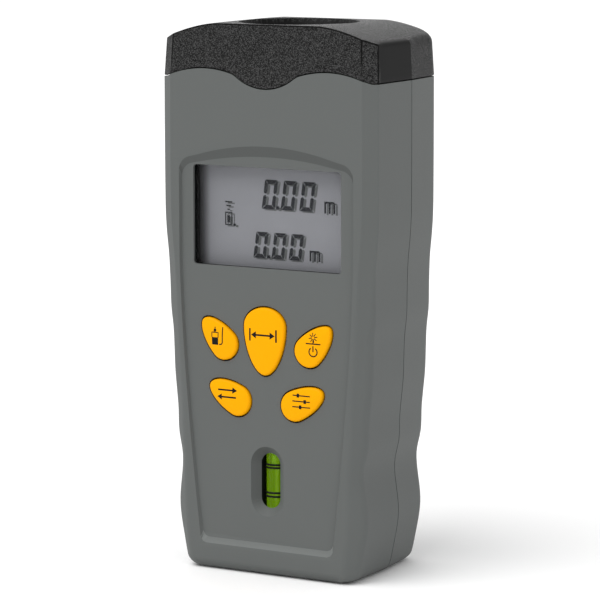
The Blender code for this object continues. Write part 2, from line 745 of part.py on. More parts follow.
def build_board():
    """Main circuit board and the larger parts on its back."""
    outline = [(-25.2, 40.2), (25.2, 40.2), (25.2, 58.0), (28.7, 86.0), (28.7, 103.0),
               (-28.7, 103.0), (-28.7, 86.0), (-25.2, 58.0)]
    board = plate("main_board", [(across * MM, height * MM) for across, height in outline],
                  BOARD_FRONT, BOARD_BACK, board_green())
    for across, height in BOARD_SCREWS:
        cut_rod(board, (across * MM, depth(5.0 * MM), height * MM),
                (across * MM, depth(15.0 * MM), height * MM), 1.1 * MM, segments=10)
    near = BOARD_BACK + GAP
    rod("chip_blob", (0.0, depth(near), 84.0 * MM), (0.0, depth(near + 1.3 * MM), 84.0 * MM),
        5.0 * MM, dark_rubber(), end_radius=3.0 * MM)
    box("drive_transformer", (8.0 * MM, depth(near), 86.0 * MM),
        (17.0 * MM, depth(near + 8.0 * MM), 95.0 * MM), cap_plastic())
    rod("buzzer", (-15.0 * MM, depth(near), 84.0 * MM),
        (-15.0 * MM, depth(near + 6.0 * MM), 84.0 * MM), 6.0 * MM, cap_plastic())
    crystal_low = slot_like_outline(0.0, 75.0 * MM, 5.4 * MM, 2.2 * MM)
    plate("crystal", crystal_low, near, near + 3.4 * MM, steel())
    for index, across in enumerate((-15.0 * MM, 15.0 * MM)):
        rod("capacitor_%d" % (index + 1), (across, depth(near), 71.0 * MM),
            (across, depth(near + 7.0 * MM), 71.0 * MM), 2.5 * MM, steel(), 16)


def slot_like_outline(across, height, half_length, radius, steps=6):
    """Lying obround outline of a metal can, as (across, height) points."""
    outline = []
    for side, start in ((1, -math.pi / 2), (-1, math.pi / 2)):
        for step in range(steps + 1):
            angle = start + math.pi * step / steps
            outline.append((across + side * (half_length - radius) + radius * math.cos(angle),
                            height + radius * math.sin(angle)))
    return outline


def build_keys():
    """Five silicone keys with their carbon pills, and the mat under them."""
    mat = box("keypad_mat", (-21.2 * MM, depth(7.6 * MM), 40.3 * MM),
              (21.2 * MM, depth(BOARD_FRONT - GAP), 73.6 * MM), dark_rubber())
    for name, shape in KEY_SHAPES.items():
        across = shape[0] * MM
        height = shape[1] * MM
        rings = [at_depth(egg_outline(shape, -2.2 * MM), KEY_CROWN),
                 at_depth(egg_outline(shape, -0.8 * MM), KEY_CROWN + 0.08 * MM),
                 at_depth(egg_outline(shape, -0.2 * MM), KEY_CROWN + 0.35 * MM),
                 at_depth(egg_outline(shape), KEY_CROWN + 0.9 * MM),
                 at_depth(egg_outline(shape), 4.0 * MM),
                 at_depth(egg_outline(shape, KEY_FLANGE + KEY_GAP), 4.0 * MM),
                 at_depth(egg_outline(shape, KEY_FLANGE + KEY_GAP), 5.2 * MM),
                 at_depth(egg_outline(shape), 5.2 * MM), at_depth(egg_outline(shape), 6.3 * MM)]
        loft("key_" + name, rings, key_rubber(), (across, depth(0.0), height))
        rod("pill_" + name, (across, depth(6.6 * MM), height), (across, depth(8.4 * MM), height),
            2.0 * MM, dark_rubber(), 12, place=(across, depth(0.0), height))
        cut_rod(mat, (across, depth(5.0 * MM), height), (across, depth(12.0 * MM), height),
                2.6 * MM, segments=12)


def build_level():
    """Level vial: tube, spirit, bubble, plug and holder."""
    centre = (0.0, depth(VIAL_DEPTH))
    floor = 16.2 * MM
    profile = [(0.0, floor), (VIAL_BORE, floor), (VIAL_BORE, VIAL_HIGH), (VIAL_RADIUS, VIAL_HIGH),
               (VIAL_RADIUS, VIAL_LOW), (0.0, VIAL_LOW)]
    turned("level_vial", profile, clear_plastic(), centre)
    spirit = rod("level_fluid", (*centre, 16.5 * MM), (*centre, 32.4 * MM), VIAL_BORE - GAP,
                 spirit_green())
    bubble_depth = depth(BUBBLE_DEPTH)
    cut_rod(spirit, (0.0, bubble_depth, 17.0 * MM), (0.0, bubble_depth, 40.0 * MM), 1.3 * MM,
            segments=14)
    bubble_top = 32.1 * MM
    bubble_bottom = 28.7 * MM
    bubble_radius = 0.9 * MM
    middle = (bubble_top + bubble_bottom) / 2
    half = (bubble_top - bubble_bottom) / 2
    shape = bmesh.new()
    stretch = Matrix.Diagonal((bubble_radius, bubble_radius, half, 1.0))
    bmesh.ops.create_uvsphere(shape, u_segments=12, v_segments=8, radius=1.0, matrix=stretch)
    from_bmesh("level_bubble", shape, (0.0, bubble_depth, middle), clear_plastic())
    rod("vial_plug", (*centre, 32.7 * MM), (*centre, 34.4 * MM), VIAL_BORE - GAP, white_plastic())
    holder = box("vial_holder", (-5.2 * MM, depth(3.1 * MM), 13.2 * MM),
                 (5.2 * MM, depth(10.4 * MM), 36.4 * MM), dark_rubber())
    cut_rod(holder, (*centre, 14.7 * MM), (*centre, 34.9 * MM), VIAL_RADIUS + GAP)
    cut_box(holder, (-VIAL_RADIUS - GAP, depth(2.0 * MM), 14.7 * MM),
            (VIAL_RADIUS + GAP, depth(VIAL_DEPTH), 34.9 * MM))


def build_battery():
    """Nine volt battery, its terminals, the snap connector and its leads."""
    battery = box("battery", (-BATTERY_HALF, depth(BATTERY_FRONT), BATTERY_LOW),
                  (BATTERY_HALF, depth(BATTERY_BACK), BATTERY_HIGH),
                  material("battery_jacket", (0.05, 0.05, 0.06), 0.4))
    rounding = battery.modifiers.new("rounding", "BEVEL")
    rounding.width = 1.5 * MM
    rounding.segments = 2
    middle = depth((BATTERY_FRONT + BATTERY_BACK) / 2)
    low = BATTERY_HIGH + GAP
    high = 55.4 * MM
    for name, across, radius, segments in (("plus", 6.35 * MM, 2.9 * MM, 16),
                                           ("minus", -6.35 * MM, 4.2 * MM, 6)):
        rod("battery_terminal_" + name, (across, middle, low), (across, middle, high), radius,
            steel(), segments)
    box("battery_snap", (-12.5 * MM, middle - 6.5 * MM, 55.8 * MM),
        (12.5 * MM, middle + 6.5 * MM, 58.3 * MM), dark_rubber())
    red_sleeve = material("red_sleeve", (0.6, 0.02, 0.02), 0.5)
    for name, side, look in (("battery_lead_red", 1, red_sleeve),
                             ("battery_lead_black", -1, dark_rubber())):
        wire(name, [(side * 2.0 * MM, depth(26.0 * MM), 59.35 * MM),
                    (side * 2.0 * MM, depth(23.0 * MM), 59.5 * MM),
                    (side * 2.0 * MM, depth(20.6 * MM), 60.9 * MM),
                    (side * 2.2 * MM, depth(18.5 * MM), 64.0 * MM),
                    (side * 2.5 * MM, depth(15.0 * MM), 67.0 * MM),
                    (side * 2.8 * MM, depth(11.3 * MM), 67.6 * MM)], 0.6 * MM, look)


def build_door():
    """Battery door on two tabs at its lower edge, which it tilts about."""
    hinge = (0.0, depth(CASE_DEPTH), DOOR_LOW)
    door = box("battery_door", (-DOOR_HALF, depth(CASE_DEPTH - DOOR_THICKNESS), DOOR_LOW),
               (DOOR_HALF, depth(CASE_DEPTH), DOOR_HIGH), case_plastic(), hinge)
    for side in (-1, 1):
        middle = side * 10.75 * MM
        join_box(door, (middle - 1.25 * MM, depth(35.6 * MM), 2.8 * MM),
                 (middle + 1.25 * MM, depth(37.2 * MM), 5.5 * MM))


def build_screws():
    """Case screws from the back, and board screws behind the main board."""
    for index, (across, height) in enumerate(CASE_SCREWS):
        screw = rod("case_screw_%d" % (index + 1), (across * MM, depth(26.3 * MM), height * MM),
                    (across * MM, depth(28.2 * MM), height * MM), 2.2 * MM, steel(), 14)
        join_rod(screw, (across * MM, depth(27.0 * MM), height * MM),
                 (across * MM, depth(9.5 * MM), height * MM), 1.1 * MM, 10)
        cut_box(screw, (across * MM - 1.4 * MM, depth(27.4 * MM), height * MM - 0.3 * MM),
                (across * MM + 1.4 * MM, depth(30.0 * MM), height * MM + 0.3 * MM))
    for index, (across, height) in enumerate(BOARD_SCREWS):
        screw = rod("board_screw_%d" % (index + 1), (across * MM, depth(11.1 * MM), height * MM),
                    (across * MM, depth(12.4 * MM), height * MM), 1.6 * MM, steel(), 12)
        join_rod(screw, (across * MM, depth(11.8 * MM), height * MM),
                 (across * MM, depth(6.2 * MM), height * MM), 0.65 * MM, 8)


def build_leads():
    """Leads of the transducer and of the laser, down to the back of the board."""
    axis = HORN_DEPTH
    for index, side in enumerate((-1, 1)):
        wire("transducer_lead_%d" % (index + 1),
             [(side * 2.5 * MM, depth(axis), 104.9 * MM),
              (side * 2.6 * MM, depth(axis - 0.8 * MM), 102.5 * MM),
              (side * 3.0 * MM, depth(15.0 * MM), 99.5 * MM),
              (side * 3.4 * MM, depth(11.4 * MM), 98.5 * MM)],
             0.5 * MM, white_plastic())
    wire("laser_lead", [(LASER_X, depth(LASER_DEPTH), 126.2 * MM),
                        (-22.6 * MM, depth(20.0 * MM), 125.2 * MM),
                        (-20.2 * MM, depth(20.0 * MM), 125.0 * MM),
                        (-18.4 * MM, depth(19.6 * MM), 122.0 * MM),
                        (-18.0 * MM, depth(18.5 * MM), 114.0 * MM),
                        (-18.0 * MM, depth(16.0 * MM), 106.0 * MM),
                        (-18.2 * MM, depth(11.5 * MM), 99.5 * MM)], 0.5 * MM, white_plastic())


def main():
    """Build every sub-part."""
    clear_scene()
    build_front_shell()
    build_back_shell()
    build_cap()
    build_horn()
    build_transducer()
    build_laser()
    build_display()
    build_board()
    build_keys()
    build_level()
    build_battery()
    build_door()
    build_screws()
    build_leads()


main()
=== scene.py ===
"""Looks of a handheld ultrasonic distance meter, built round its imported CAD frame.

Lengths are in metres, +Z is up, the display side faces -Y and the origin is the middle of the
base. Depths are given from the plane of the front face; ``Case.y`` turns them into world Y.
"""

from __future__ import annotations

import json
import logging
import math
from contextlib import contextmanager
from dataclasses import dataclass, field
from enum import Enum
from typing import Callable, Iterable, Iterator, Sequence

import bmesh
import bpy
from mathutils import Matrix, Vector
from mathutils.bvhtree import BVHTree
from mathutils.geometry import interpolate_bezier

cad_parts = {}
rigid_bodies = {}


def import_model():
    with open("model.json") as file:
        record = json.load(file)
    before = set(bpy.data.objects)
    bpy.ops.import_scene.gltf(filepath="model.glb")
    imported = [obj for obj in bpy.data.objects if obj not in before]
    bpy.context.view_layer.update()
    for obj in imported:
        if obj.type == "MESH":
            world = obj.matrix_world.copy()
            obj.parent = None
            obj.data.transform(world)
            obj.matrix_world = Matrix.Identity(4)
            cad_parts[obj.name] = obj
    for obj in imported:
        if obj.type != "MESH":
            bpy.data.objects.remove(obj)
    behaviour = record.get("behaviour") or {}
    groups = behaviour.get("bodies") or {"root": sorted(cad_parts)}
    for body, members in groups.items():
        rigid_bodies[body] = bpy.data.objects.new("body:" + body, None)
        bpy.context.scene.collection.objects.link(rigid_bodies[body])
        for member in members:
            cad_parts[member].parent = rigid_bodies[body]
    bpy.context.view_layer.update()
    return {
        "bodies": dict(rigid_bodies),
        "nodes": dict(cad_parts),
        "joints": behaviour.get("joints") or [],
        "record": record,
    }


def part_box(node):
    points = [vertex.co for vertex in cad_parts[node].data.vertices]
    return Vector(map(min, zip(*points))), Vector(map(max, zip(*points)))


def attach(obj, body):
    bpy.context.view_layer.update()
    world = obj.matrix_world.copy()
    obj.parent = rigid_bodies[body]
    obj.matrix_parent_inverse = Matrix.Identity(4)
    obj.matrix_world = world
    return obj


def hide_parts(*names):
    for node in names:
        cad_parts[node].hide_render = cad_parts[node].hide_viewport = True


MM = 0.001
CLOSE = 0.002 * MM
PATCH = 9.0 * MM
LOG = logging.getLogger("distance_meter")

Point2 = tuple[float, float]
Colour = tuple[float, float, float]
Point3 = tuple[float, float, float]
Box = tuple[Point3, Point3]
Piece = bpy.types.Object
Node = bpy.types.Node
Shape = bmesh.types.BMesh
BLACK: Colour = (0.0, 0.0, 0.0)
MADE: dict[str, bpy.types.Material] = {}


# ---- node graphs


class Value:
    """A node socket that adds Math nodes when it is used in arithmetic."""

    def __init__(self, graph: Graph, socket: bpy.types.NodeSocket) -> None:
        """Wrap a socket of a graph."""
        self.graph = graph
        self.socket = socket

    def _maths(self, operation: str, *operands: Value | float) -> Value:
        """Add one Math node and return its result."""
        inputs = dict(enumerate(operands))
        return self.graph.add("ShaderNodeMath", {"operation": operation}, inputs)

    def __add__(self, other: Value | float) -> Value:
        """Sum of two values."""
        return self._maths("ADD", self, other)

    __radd__ = __add__

    def __sub__(self, other: Value | float) -> Value:
        """This value less another."""
        return self._maths("SUBTRACT", self, other)

    def __rsub__(self, other: Value | float) -> Value:
        """Another value less this one."""
        return self._maths("SUBTRACT", other, self)

    def __mul__(self, other: Value | float) -> Value:
        """Product of two values."""
        return self._maths("MULTIPLY", self, other)

    __rmul__ = __mul__

    def __truediv__(self, other: Value | float) -> Value:
        """This value divided by another."""
        return self._maths("DIVIDE", self, other)

    def __pow__(self, other: Value | float) -> Value:
        """This value raised to a power."""
        return self._maths("POWER", self, other)

    def __abs__(self) -> Value:
        """Size of this value without its sign."""
        return self._maths("ABSOLUTE", self)

    def wave(self) -> Value:
        """Sine of this value."""
        return self._maths("SINE", self)

    def turn(self) -> Value:
        """Cosine of this value."""
        return self._maths("COSINE", self)

    def part(self, index: int) -> Value:
        """One coordinate of this vector."""
        return self.graph.add("ShaderNodeSeparateXYZ", None, {0: self}, output=index)

    def step(self, low: float, high: float) -> Value:
        """Smooth rise from zero at low to one at high."""
        settings = {"interpolation_type": "SMOOTHSTEP"}
        return self.graph.add("ShaderNodeMapRange", settings, {0: self, 1: low, 2: high})


class Graph:
    """A node tree and the one method that makes its nodes."""

    def __init__(self, tree: bpy.types.NodeTree) -> None:
        """Wrap a node tree."""
        self.tree = tree

    def add(self, kind: str, settings: dict | None = None, inputs: dict | None = None,
            output: int | str = 0) -> Value:
        """Make a node, set it up and connect it.

        Args:
            kind: The node's type name.
            settings: Its properties, which are set first.
            inputs: Values or links by socket name or number.
            output: The output socket to return.

        Returns:
            The chosen output, or the node's first input where it has no output.
        """
        node = self.tree.nodes.new(kind)
        for name, setting in (settings or {}).items():
            setattr(node, name, setting)
        for name, value in (inputs or {}).items():
            self.feed(node.inputs[name], value)
        if not node.outputs:
            return Value(self, node.inputs[0])
        return Value(self, node.outputs[output])

    def feed(self, socket: bpy.types.NodeSocket, value: object) -> None:
        """Link a value, or each of a list of values, to a socket, or set the socket."""
        if isinstance(value, list):
            for each in reversed(value):
                self.feed(socket, each)
        elif isinstance(value, Value):
            self.tree.links.new(value.socket, socket)
        else:
            socket.default_value = value

    def mark(self, name: str) -> Value:
        """Value of a mesh attribute."""
        return self.add("ShaderNodeAttribute", {"attribute_name": name}, output="Fac")

    def mix(self, share: Value | float, first: object, second: object) -> Value:
        """Blend two colours."""
        return self.add("ShaderNodeMix", {"data_type": "RGBA"},
                        {0: share, 6: first, 7: second}, output=2)


def rgba(colour: Colour) -> tuple[float, float, float, float]:
    """Opaque colour with four parts."""
    return (*colour, 1.0)


def shade(colour: Colour, share: float) -> Colour:
    """Colour made darker or lighter by a factor."""
    return tuple(min(part * share, 1.0) for part in colour)


# ---- finishes


@dataclass(frozen=True)
class Finish:
    """Moulded finish: mottled colour, varied roughness and a fine surface relief.

    Attributes:
        name: Name of the material.
        colour: Main colour, linear.
        roughness: Mean roughness.
        grain: Size of the surface grain.
        relief: Height of the grain.
        mottling: Share by which the colour varies.
        metallic: One for a bare metal.
        gloss: Level of the reflection; one half is usual for plastic.
    """

    name: str
    colour: Colour
    roughness: float
    grain: float = 0.25 * MM
    relief: float = 0.006 * MM
    mottling: float = 0.05
    metallic: float = 0.0
    gloss: float = 0.5

    def material(self) -> bpy.types.Material:
        """Material of this finish, made once."""
        if self.name in MADE:
            return MADE[self.name]
        made = bpy.data.materials.new(self.name)
        MADE[self.name] = made
        made.use_nodes = True
        graph = Graph(made.node_tree)
        shader = made.node_tree.nodes["Principled BSDF"]
        shader.inputs["Metallic"].default_value = self.metallic
        shader.inputs["Specular IOR Level"].default_value = self.gloss
        place = graph.add("ShaderNodeTexCoord", output="Object")
        self.paint(graph, shader, place)
        made.diffuse_color = rgba(self.colour)
        return made

    def paint(self, graph: Graph, shader: Node, place: Value) -> None:
        """Connect colour, roughness and relief to the shader."""
        fine = self.noise(graph, place, self.grain, 3.0)
        broad = self.noise(graph, place, PATCH, 2.0)
        dark = rgba(shade(self.colour, 1.0 - self.mottling))
        light = rgba(shade(self.colour, 1.0 + self.mottling))
        self.connect(graph, shader, graph.mix(0.5 * fine + 0.5 * broad, dark, light),
                     0.12 * (fine - 0.5), fine)

    def overlay(self, graph: Graph, shader: Node, share: Value,
                colour: Colour) -> None:
        """Blend what feeds the base colour towards another colour."""
        base = shader.inputs["Base Color"]
        plain = Value(graph, base.links[0].from_socket)
        graph.feed(base, graph.mix(share, plain, rgba(colour)))

    def noise(self, graph: Graph, place: Value, size: float, detail: float) -> Value:
        """Even noise whose features have about the given size."""
        return graph.add("ShaderNodeTexNoise", {"noise_dimensions": "3D"},
                         {"Vector": place, "Scale": 0.5 / size, "Detail": detail})

    def connect(self, graph: Graph, shader: Node, colour: Value, rough: Value,
                height: Value) -> None:
        """Feed colour, change of roughness and relief to the shader."""
        bump = graph.add("ShaderNodeBump", None,
                         {"Strength": 1.0, "Distance": self.relief, "Height": height})
        graph.feed(shader.inputs["Base Color"], colour)
        graph.feed(shader.inputs["Roughness"], self.roughness + rough)
        graph.feed(shader.inputs["Normal"], bump)


@dataclass(frozen=True)
class CasePlastic(Finish):
    """Case plastic with painted shade in its sunk slopes and painted highlights on its ledges.

    The mesh attribute ``hollow`` marks sunk slopes that get painted shade and ``ledge`` marks
    edges that get a painted highlight where they would catch light.

    Attributes:
        depth: Share of its brightness that a hollow loses to painted shade.
        shine: Brightness of a ledge's painted highlight against the main colour.
    """

    depth: float = 0.31
    shine: float = 1.6

    def paint(self, graph: Graph, shader: Node, place: Value) -> None:
        """Connect the finish, then paint shade on the hollows and highlights on the ledges."""
        super().paint(graph, shader, place)
        # Painted shade on the sunk slopes, then painted highlights on the ledges.
        self.overlay(graph, shader, graph.mark("hollow") * self.depth, BLACK)
        self.overlay(graph, shader, graph.mark("ledge"), shade(self.colour, self.shine))


@dataclass(frozen=True)
class PebbledPlastic(Finish):
    """Black plastic with raised pebbles that carry painted highlights, and thin lines of painted
    shade along its creases.

    The mesh attribute ``crease`` marks the painted shade lines and ``pebble`` how strong the
    grain and its painted highlights are.

    Attributes:
        pebble_highlight: Colour of the painted highlights on the pebbles, where they would catch
            light.
    """

    pebble_highlight: Colour = (0.067, 0.067, 0.067)

    def paint(self, graph: Graph, shader: Node, place: Value) -> None:
        """Connect pebbles with their painted highlights, and the painted shade lines of the
        creases, to the shader.
        """
        size = {"Vector": place, "Scale": 1.0 / self.grain}
        cells = graph.add("ShaderNodeTexVoronoi", {"feature": "F1"}, size)
        tone = graph.add("ShaderNodeTexVoronoi", {"feature": "F1"}, size, output="Color")
        fine = self.noise(graph, place, 0.4 * self.grain, 3.0)
        pebble = graph.mark("pebble")
        lit = graph.add("ShaderNodeSeparateColor", None, {0: tone}).step(0.3, 1.0) * pebble
        # Painted highlights on the pebbles, then thin lines of painted shade along the creases.
        ground = graph.mix(lit, rgba(self.colour), rgba(self.pebble_highlight))
        lined = graph.mix(graph.mark("crease"), ground, rgba(shade(self.colour, 0.1)))
        self.connect(graph, shader, lined, 0.15 * (fine - 0.5) - 0.1 * lit,
                     (1.0 - cells) * pebble + 0.2 * fine)


@dataclass(frozen=True)
class BrushedMetal(Finish):
    """Metal with fine scratches along one axis.

    Attributes:
        along: Scale of the scratches along each axis; the smallest is the way they run.
    """

    along: tuple[float, float, float] = (1.0, 1.0, 0.04)

    def paint(self, graph: Graph, shader: Node, place: Value) -> None:
        """Connect stretched scratches to the shader."""
        drawn = graph.add("ShaderNodeMapping", None, {"Vector": place, "Scale": self.along})
        lines = self.noise(graph, drawn, self.grain, 4.0)
        dark = rgba(shade(self.colour, 1.0 - self.mottling))
        self.connect(graph, shader, graph.mix(lines, dark, rgba(self.colour)),
                     0.2 * (lines - 0.5), lines)


@dataclass(frozen=True)
class FilmFinish(Finish):
    """Pale display film with a painted shadow of its window's edge, darker towards that edge.

    Attributes:
        edge: Place across where the painted shadow is darkest.
        fade: Width of the painted shadow.
        shadow_strength: Share of its brightness that the edge loses to the painted shadow.
    """

    edge: float = -22.6 * MM
    fade: float = 3.4 * MM
    shadow_strength: float = 0.8

    def paint(self, graph: Graph, shader: Node, place: Value) -> None:
        """Connect the finish, then paint the shadow of the window's edge on its side."""
        super().paint(graph, shader, place)
        # Painted shadow of the window's edge on the film.
        painted_shadow = 1.0 - place.part(0).step(self.edge, self.edge + self.fade)
        self.overlay(graph, shader, self.shadow_strength * painted_shadow, BLACK)


@dataclass(frozen=True)
class BoardFinish(Finish):
    """Circuit board: solder mask over copper tracks and pads.

    Attributes:
        track: Colour of the mask over a track.
        width: Width of a track.
        cell: Length and height of the pattern that the tracks run round.
    """

    track: Colour = (0.05, 0.30, 0.12)
    width: float = 0.18 * MM
    cell: Point2 = (7.0 * MM, 1.6 * MM)

    def paint(self, graph: Graph, shader: Node, place: Value) -> None:
        """Connect tracks to the shader."""
        laid = graph.add("ShaderNodeMapping", None,
                         {"Vector": place, "Rotation": (math.pi / 2, 0, 0)})
        sizes = {"Vector": laid, "Scale": 1.0, "Mortar Size": self.width,
                 "Brick Width": self.cell[0], "Row Height": self.cell[1]}
        colours = {"Color1": rgba(BLACK), "Color2": rgba(BLACK), "Mortar": (1, 1, 1, 1)}
        rows = graph.add("ShaderNodeTexBrick", {"offset": 0.5}, sizes | colours, output="Fac")
        fine = self.noise(graph, place, self.grain, 2.0)
        self.connect(graph, shader, graph.mix(rows, rgba(self.colour), rgba(self.track)),
                     0.1 * (fine - 0.5), rows + 0.1 * fine)


@dataclass(frozen=True)
class ClearFinish(Finish):
    """Clear moulding: mostly see-through, with a gloss that grows at the rim.

    Attributes:
        body: Share of the surface that has its own colour, face on.
        rim: Share at a grazing angle.
        tint: Colour of what is seen through it.
    """

    body: float = 0.05
    rim: float = 0.35
    tint: Colour = (0.97, 0.98, 0.98)

    def paint(self, graph: Graph, shader: Node, place: Value) -> None:
        """Mix the glossy shader with a transparent one."""
        super().paint(graph, shader, place)
        facing = graph.add("ShaderNodeLayerWeight", None, {"Blend": 0.25}, output="Facing")
        share = self.body + (self.rim - self.body) * facing
        clear = graph.add("ShaderNodeBsdfTransparent", None, {"Color": rgba(self.tint)})
        solid = Value(graph, shader.outputs[0])
        mixed = graph.add("ShaderNodeMixShader", None, {0: share, 1: clear, 2: solid})
        out = graph.tree.nodes["Material Output"]
        graph.feed(out.inputs["Surface"], mixed)


@dataclass(frozen=True)
class SpiritFinish(Finish):
    """Dyed spirit with a painted glow, and painted shade that makes it darker towards the sides
    of its tube.

    Attributes:
        deep: Darker colour at the sides, painted shade.
        reach: Distance from the middle to the sides.
        glow: Strength of the painted glow, light that it seems to hold.
    """

    deep: Colour = (0.09, 0.19, 0.0)
    reach: float = 2.8 * MM
    glow: float = 0.5

    def paint(self, graph: Graph, shader: Node, place: Value) -> None:
        """Connect the painted shade at the sides and the painted glow to the shader."""
        fine = self.noise(graph, place, self.grain, 2.0)
        side = (abs(place.part(0)) / self.reach).step(0.4, 1.0)
        tint = graph.mix(side, rgba(self.colour), rgba(self.deep))
        # Painted glow: the spirit gives off light in its own colour.
        graph.feed(shader.inputs["Emission Color"], tint)
        shader.inputs["Emission Strength"].default_value = self.glow
        self.connect(graph, shader, tint, 0.1 * (fine - 0.5), fine)


class Looks(Enum):
    """Finishes of the meter, by what they cover."""

    CASE = CasePlastic("grey_case_plastic", (0.106, 0.113, 0.110), 0.60, 0.30 * MM, 0.010 * MM,
                       0.03, gloss=0.3)
    CAP = PebbledPlastic("black_pebbled_plastic", (0.0045, 0.0045, 0.0045), 0.48, 0.17 * MM,
                         0.03 * MM, gloss=0.1)
    INNER = Finish("black_inner_plastic", (0.006, 0.006, 0.006), 0.6, 0.3 * MM, 0.008 * MM,
                   gloss=0.15)
    KEY = Finish("amber_silicone", (0.90, 0.385, 0.0), 0.45, 0.2 * MM, 0.004 * MM, 0.02,
                 gloss=0.05)
    INK = Finish("black_ink", (0.008, 0.008, 0.008), 0.6, 0.1 * MM, 0.002 * MM, gloss=0.1)
    WINDOW = ClearFinish("clear_window", (0.02, 0.02, 0.02), 0.05, 2.0 * MM, 0.0004 * MM, 0.01,
                         body=0.06, rim=0.5)
    LENS = ClearFinish("clear_lens", (0.02, 0.025, 0.03), 0.04, 2.0 * MM, 0.0004 * MM, 0.01,
                       body=0.25, rim=0.8, tint=(0.7, 0.8, 0.85))
    FILM = FilmFinish("display_film", (0.39, 0.38, 0.41), 0.5, 0.5 * MM, 0.0005 * MM, 0.02,
                      gloss=0.3)
    CELL = ClearFinish("display_cell", (0.1, 0.1, 0.11), 0.15, 0.5 * MM, 0.0004 * MM, 0.01,
                       body=0.1, rim=0.4)
    SEGMENT = Finish("display_segment", (0.030, 0.030, 0.036), 0.5, 0.1 * MM, 0.001 * MM,
                     gloss=0.2)
    # Painted shadow of the segments, seen on the reflector beside them.
    SHADOW = Finish("segment_shadow", (0.150, 0.150, 0.154), 0.5, 0.1 * MM, 0.001 * MM,
                    gloss=0.3)
    VIAL = ClearFinish("green_tinted_acrylic", (0.05, 0.08, 0.01), 0.08, 1.0 * MM, 0.0008 * MM,
                       0.02, body=0.08, rim=0.4, tint=(0.92, 0.98, 0.7))
    SPIRIT = SpiritFinish("green_spirit", (0.165, 0.27, 0.003), 0.15, 0.5 * MM, 0.002 * MM)
    BUBBLE = ClearFinish("air_bubble", (0.60, 0.88, 0.12), 0.06, 1.0 * MM, 0.0008 * MM, 0.02,
                         body=0.6, rim=0.85, tint=(0.9, 1.0, 0.7))
    RUBBER = Finish("black_rubber", (0.014, 0.014, 0.014), 0.8, 0.2 * MM, 0.008 * MM)
    STEEL = BrushedMetal("plated_steel", (0.60, 0.60, 0.62), 0.28, 0.15 * MM, 0.003 * MM, 0.15,
                         1.0)
    CAN = BrushedMetal("drawn_can", (0.66, 0.66, 0.67), 0.34, 0.2 * MM, 0.003 * MM, 0.12, 1.0)
    BRASS = BrushedMetal("turned_brass", (0.75, 0.53, 0.22), 0.25, 0.2 * MM, 0.003 * MM, 0.15,
                         1.0, along=(0.1, 0.1, 1.0))
    BOARD = BoardFinish("green_board", (0.012, 0.12, 0.045), 0.35, 0.3 * MM, 0.02 * MM)
    WHITE = Finish("white_plastic", (0.66, 0.66, 0.63), 0.5, 0.3 * MM, 0.006 * MM)
    RED = Finish("red_sleeve", (0.52, 0.02, 0.015), 0.45, 0.3 * MM, 0.004 * MM)
    JACKET = Finish("dark_jacket", (0.03, 0.032, 0.036), 0.3, 0.6 * MM, 0.004 * MM, 0.08)
    COPPER = BrushedMetal("copper_band", (0.78, 0.42, 0.22), 0.3, 0.3 * MM, 0.003 * MM, 0.1, 1.0)


# ---- mesh tools


@contextmanager
def edited(mesh: bpy.types.Mesh) -> Iterator[Shape]:
    """Mesh opened for editing and written back."""
    shape = bmesh.new()
    shape.from_mesh(mesh)
    yield shape
    shape.to_mesh(mesh)
    shape.free()


def add_object(name: str, data: bpy.types.ID) -> Piece:
    """Object for a mesh, a light or a camera, linked to the scene."""
    obj = bpy.data.objects.new(name, data)
    bpy.context.scene.collection.objects.link(obj)
    return obj


def from_bmesh(name: str, shape: Shape) -> Piece:
    """Object for a bmesh whose faces are made to point outwards."""
    bmesh.ops.recalc_face_normals(shape, faces=shape.faces)
    mesh = bpy.data.meshes.new(name)
    shape.to_mesh(mesh)
    shape.free()
    return add_object(name, mesh)


def loft(name: str, rings: Sequence[Sequence[Sequence[float]]], caps: bool = True) -> Piece:
    """Solid or sheet through loops of points that all have the same count.

    Args:
        name: Name of the object.
        rings: Loops of points.
        caps: Whether the first and last loops are filled.

    Returns:
        The new object.
    """
    shape = bmesh.new()
    rows = [[shape.verts.new(point) for point in ring] for ring in rings]
    count = len(rows[0])
    for lower, upper in zip(rows, rows[1:]):
        for index in range(count):
            following = (index + 1) % count
            shape.faces.new((lower[index], lower[following], upper[following], upper[index]))
    if caps:
        shape.faces.new(rows[0])
        shape.faces.new(rows[-1])
    return from_bmesh(name, shape)


def turned(name: str, profile: Sequence[Point2], centre: Sequence[float], steps: int = 64,
           axis: str = "Z") -> Piece:
    """Closed turned solid.

    Args:
        name: Name of the object.
        profile: Points of (radius, place along the axis); a radius of zero lies on the axis.
        centre: Point that the places along the axis are counted from.
        steps: Faces round the axis.
        axis: Z, or Y for a piece turned about the depth axis.

    Returns:
        The new object.
    """
    shape = bmesh.new()
    rows = []
    for radius, along in profile:
        if radius <= 0.0:
            rows.append([shape.verts.new((0.0, 0.0, along))])
            continue
        row = []
        for step in range(steps):
            angle = math.tau * step / steps
            row.append(shape.verts.new((radius * math.cos(angle), radius * math.sin(angle),
                                        along)))
        rows.append(row)
    pairs = list(zip(rows, rows[1:]))
    if len(rows[0]) > 1 and len(rows[-1]) > 1:
        pairs.append((rows[-1], rows[0]))
    for first, second in pairs:
        bridge(shape, first, second, steps)
    if axis == "Y":
        bmesh.ops.rotate(shape, verts=shape.verts, matrix=Matrix.Rotation(-math.pi / 2, 3, "X"))
    bmesh.ops.translate(shape, verts=shape.verts, vec=Vector(centre))
    return from_bmesh(name, shape)


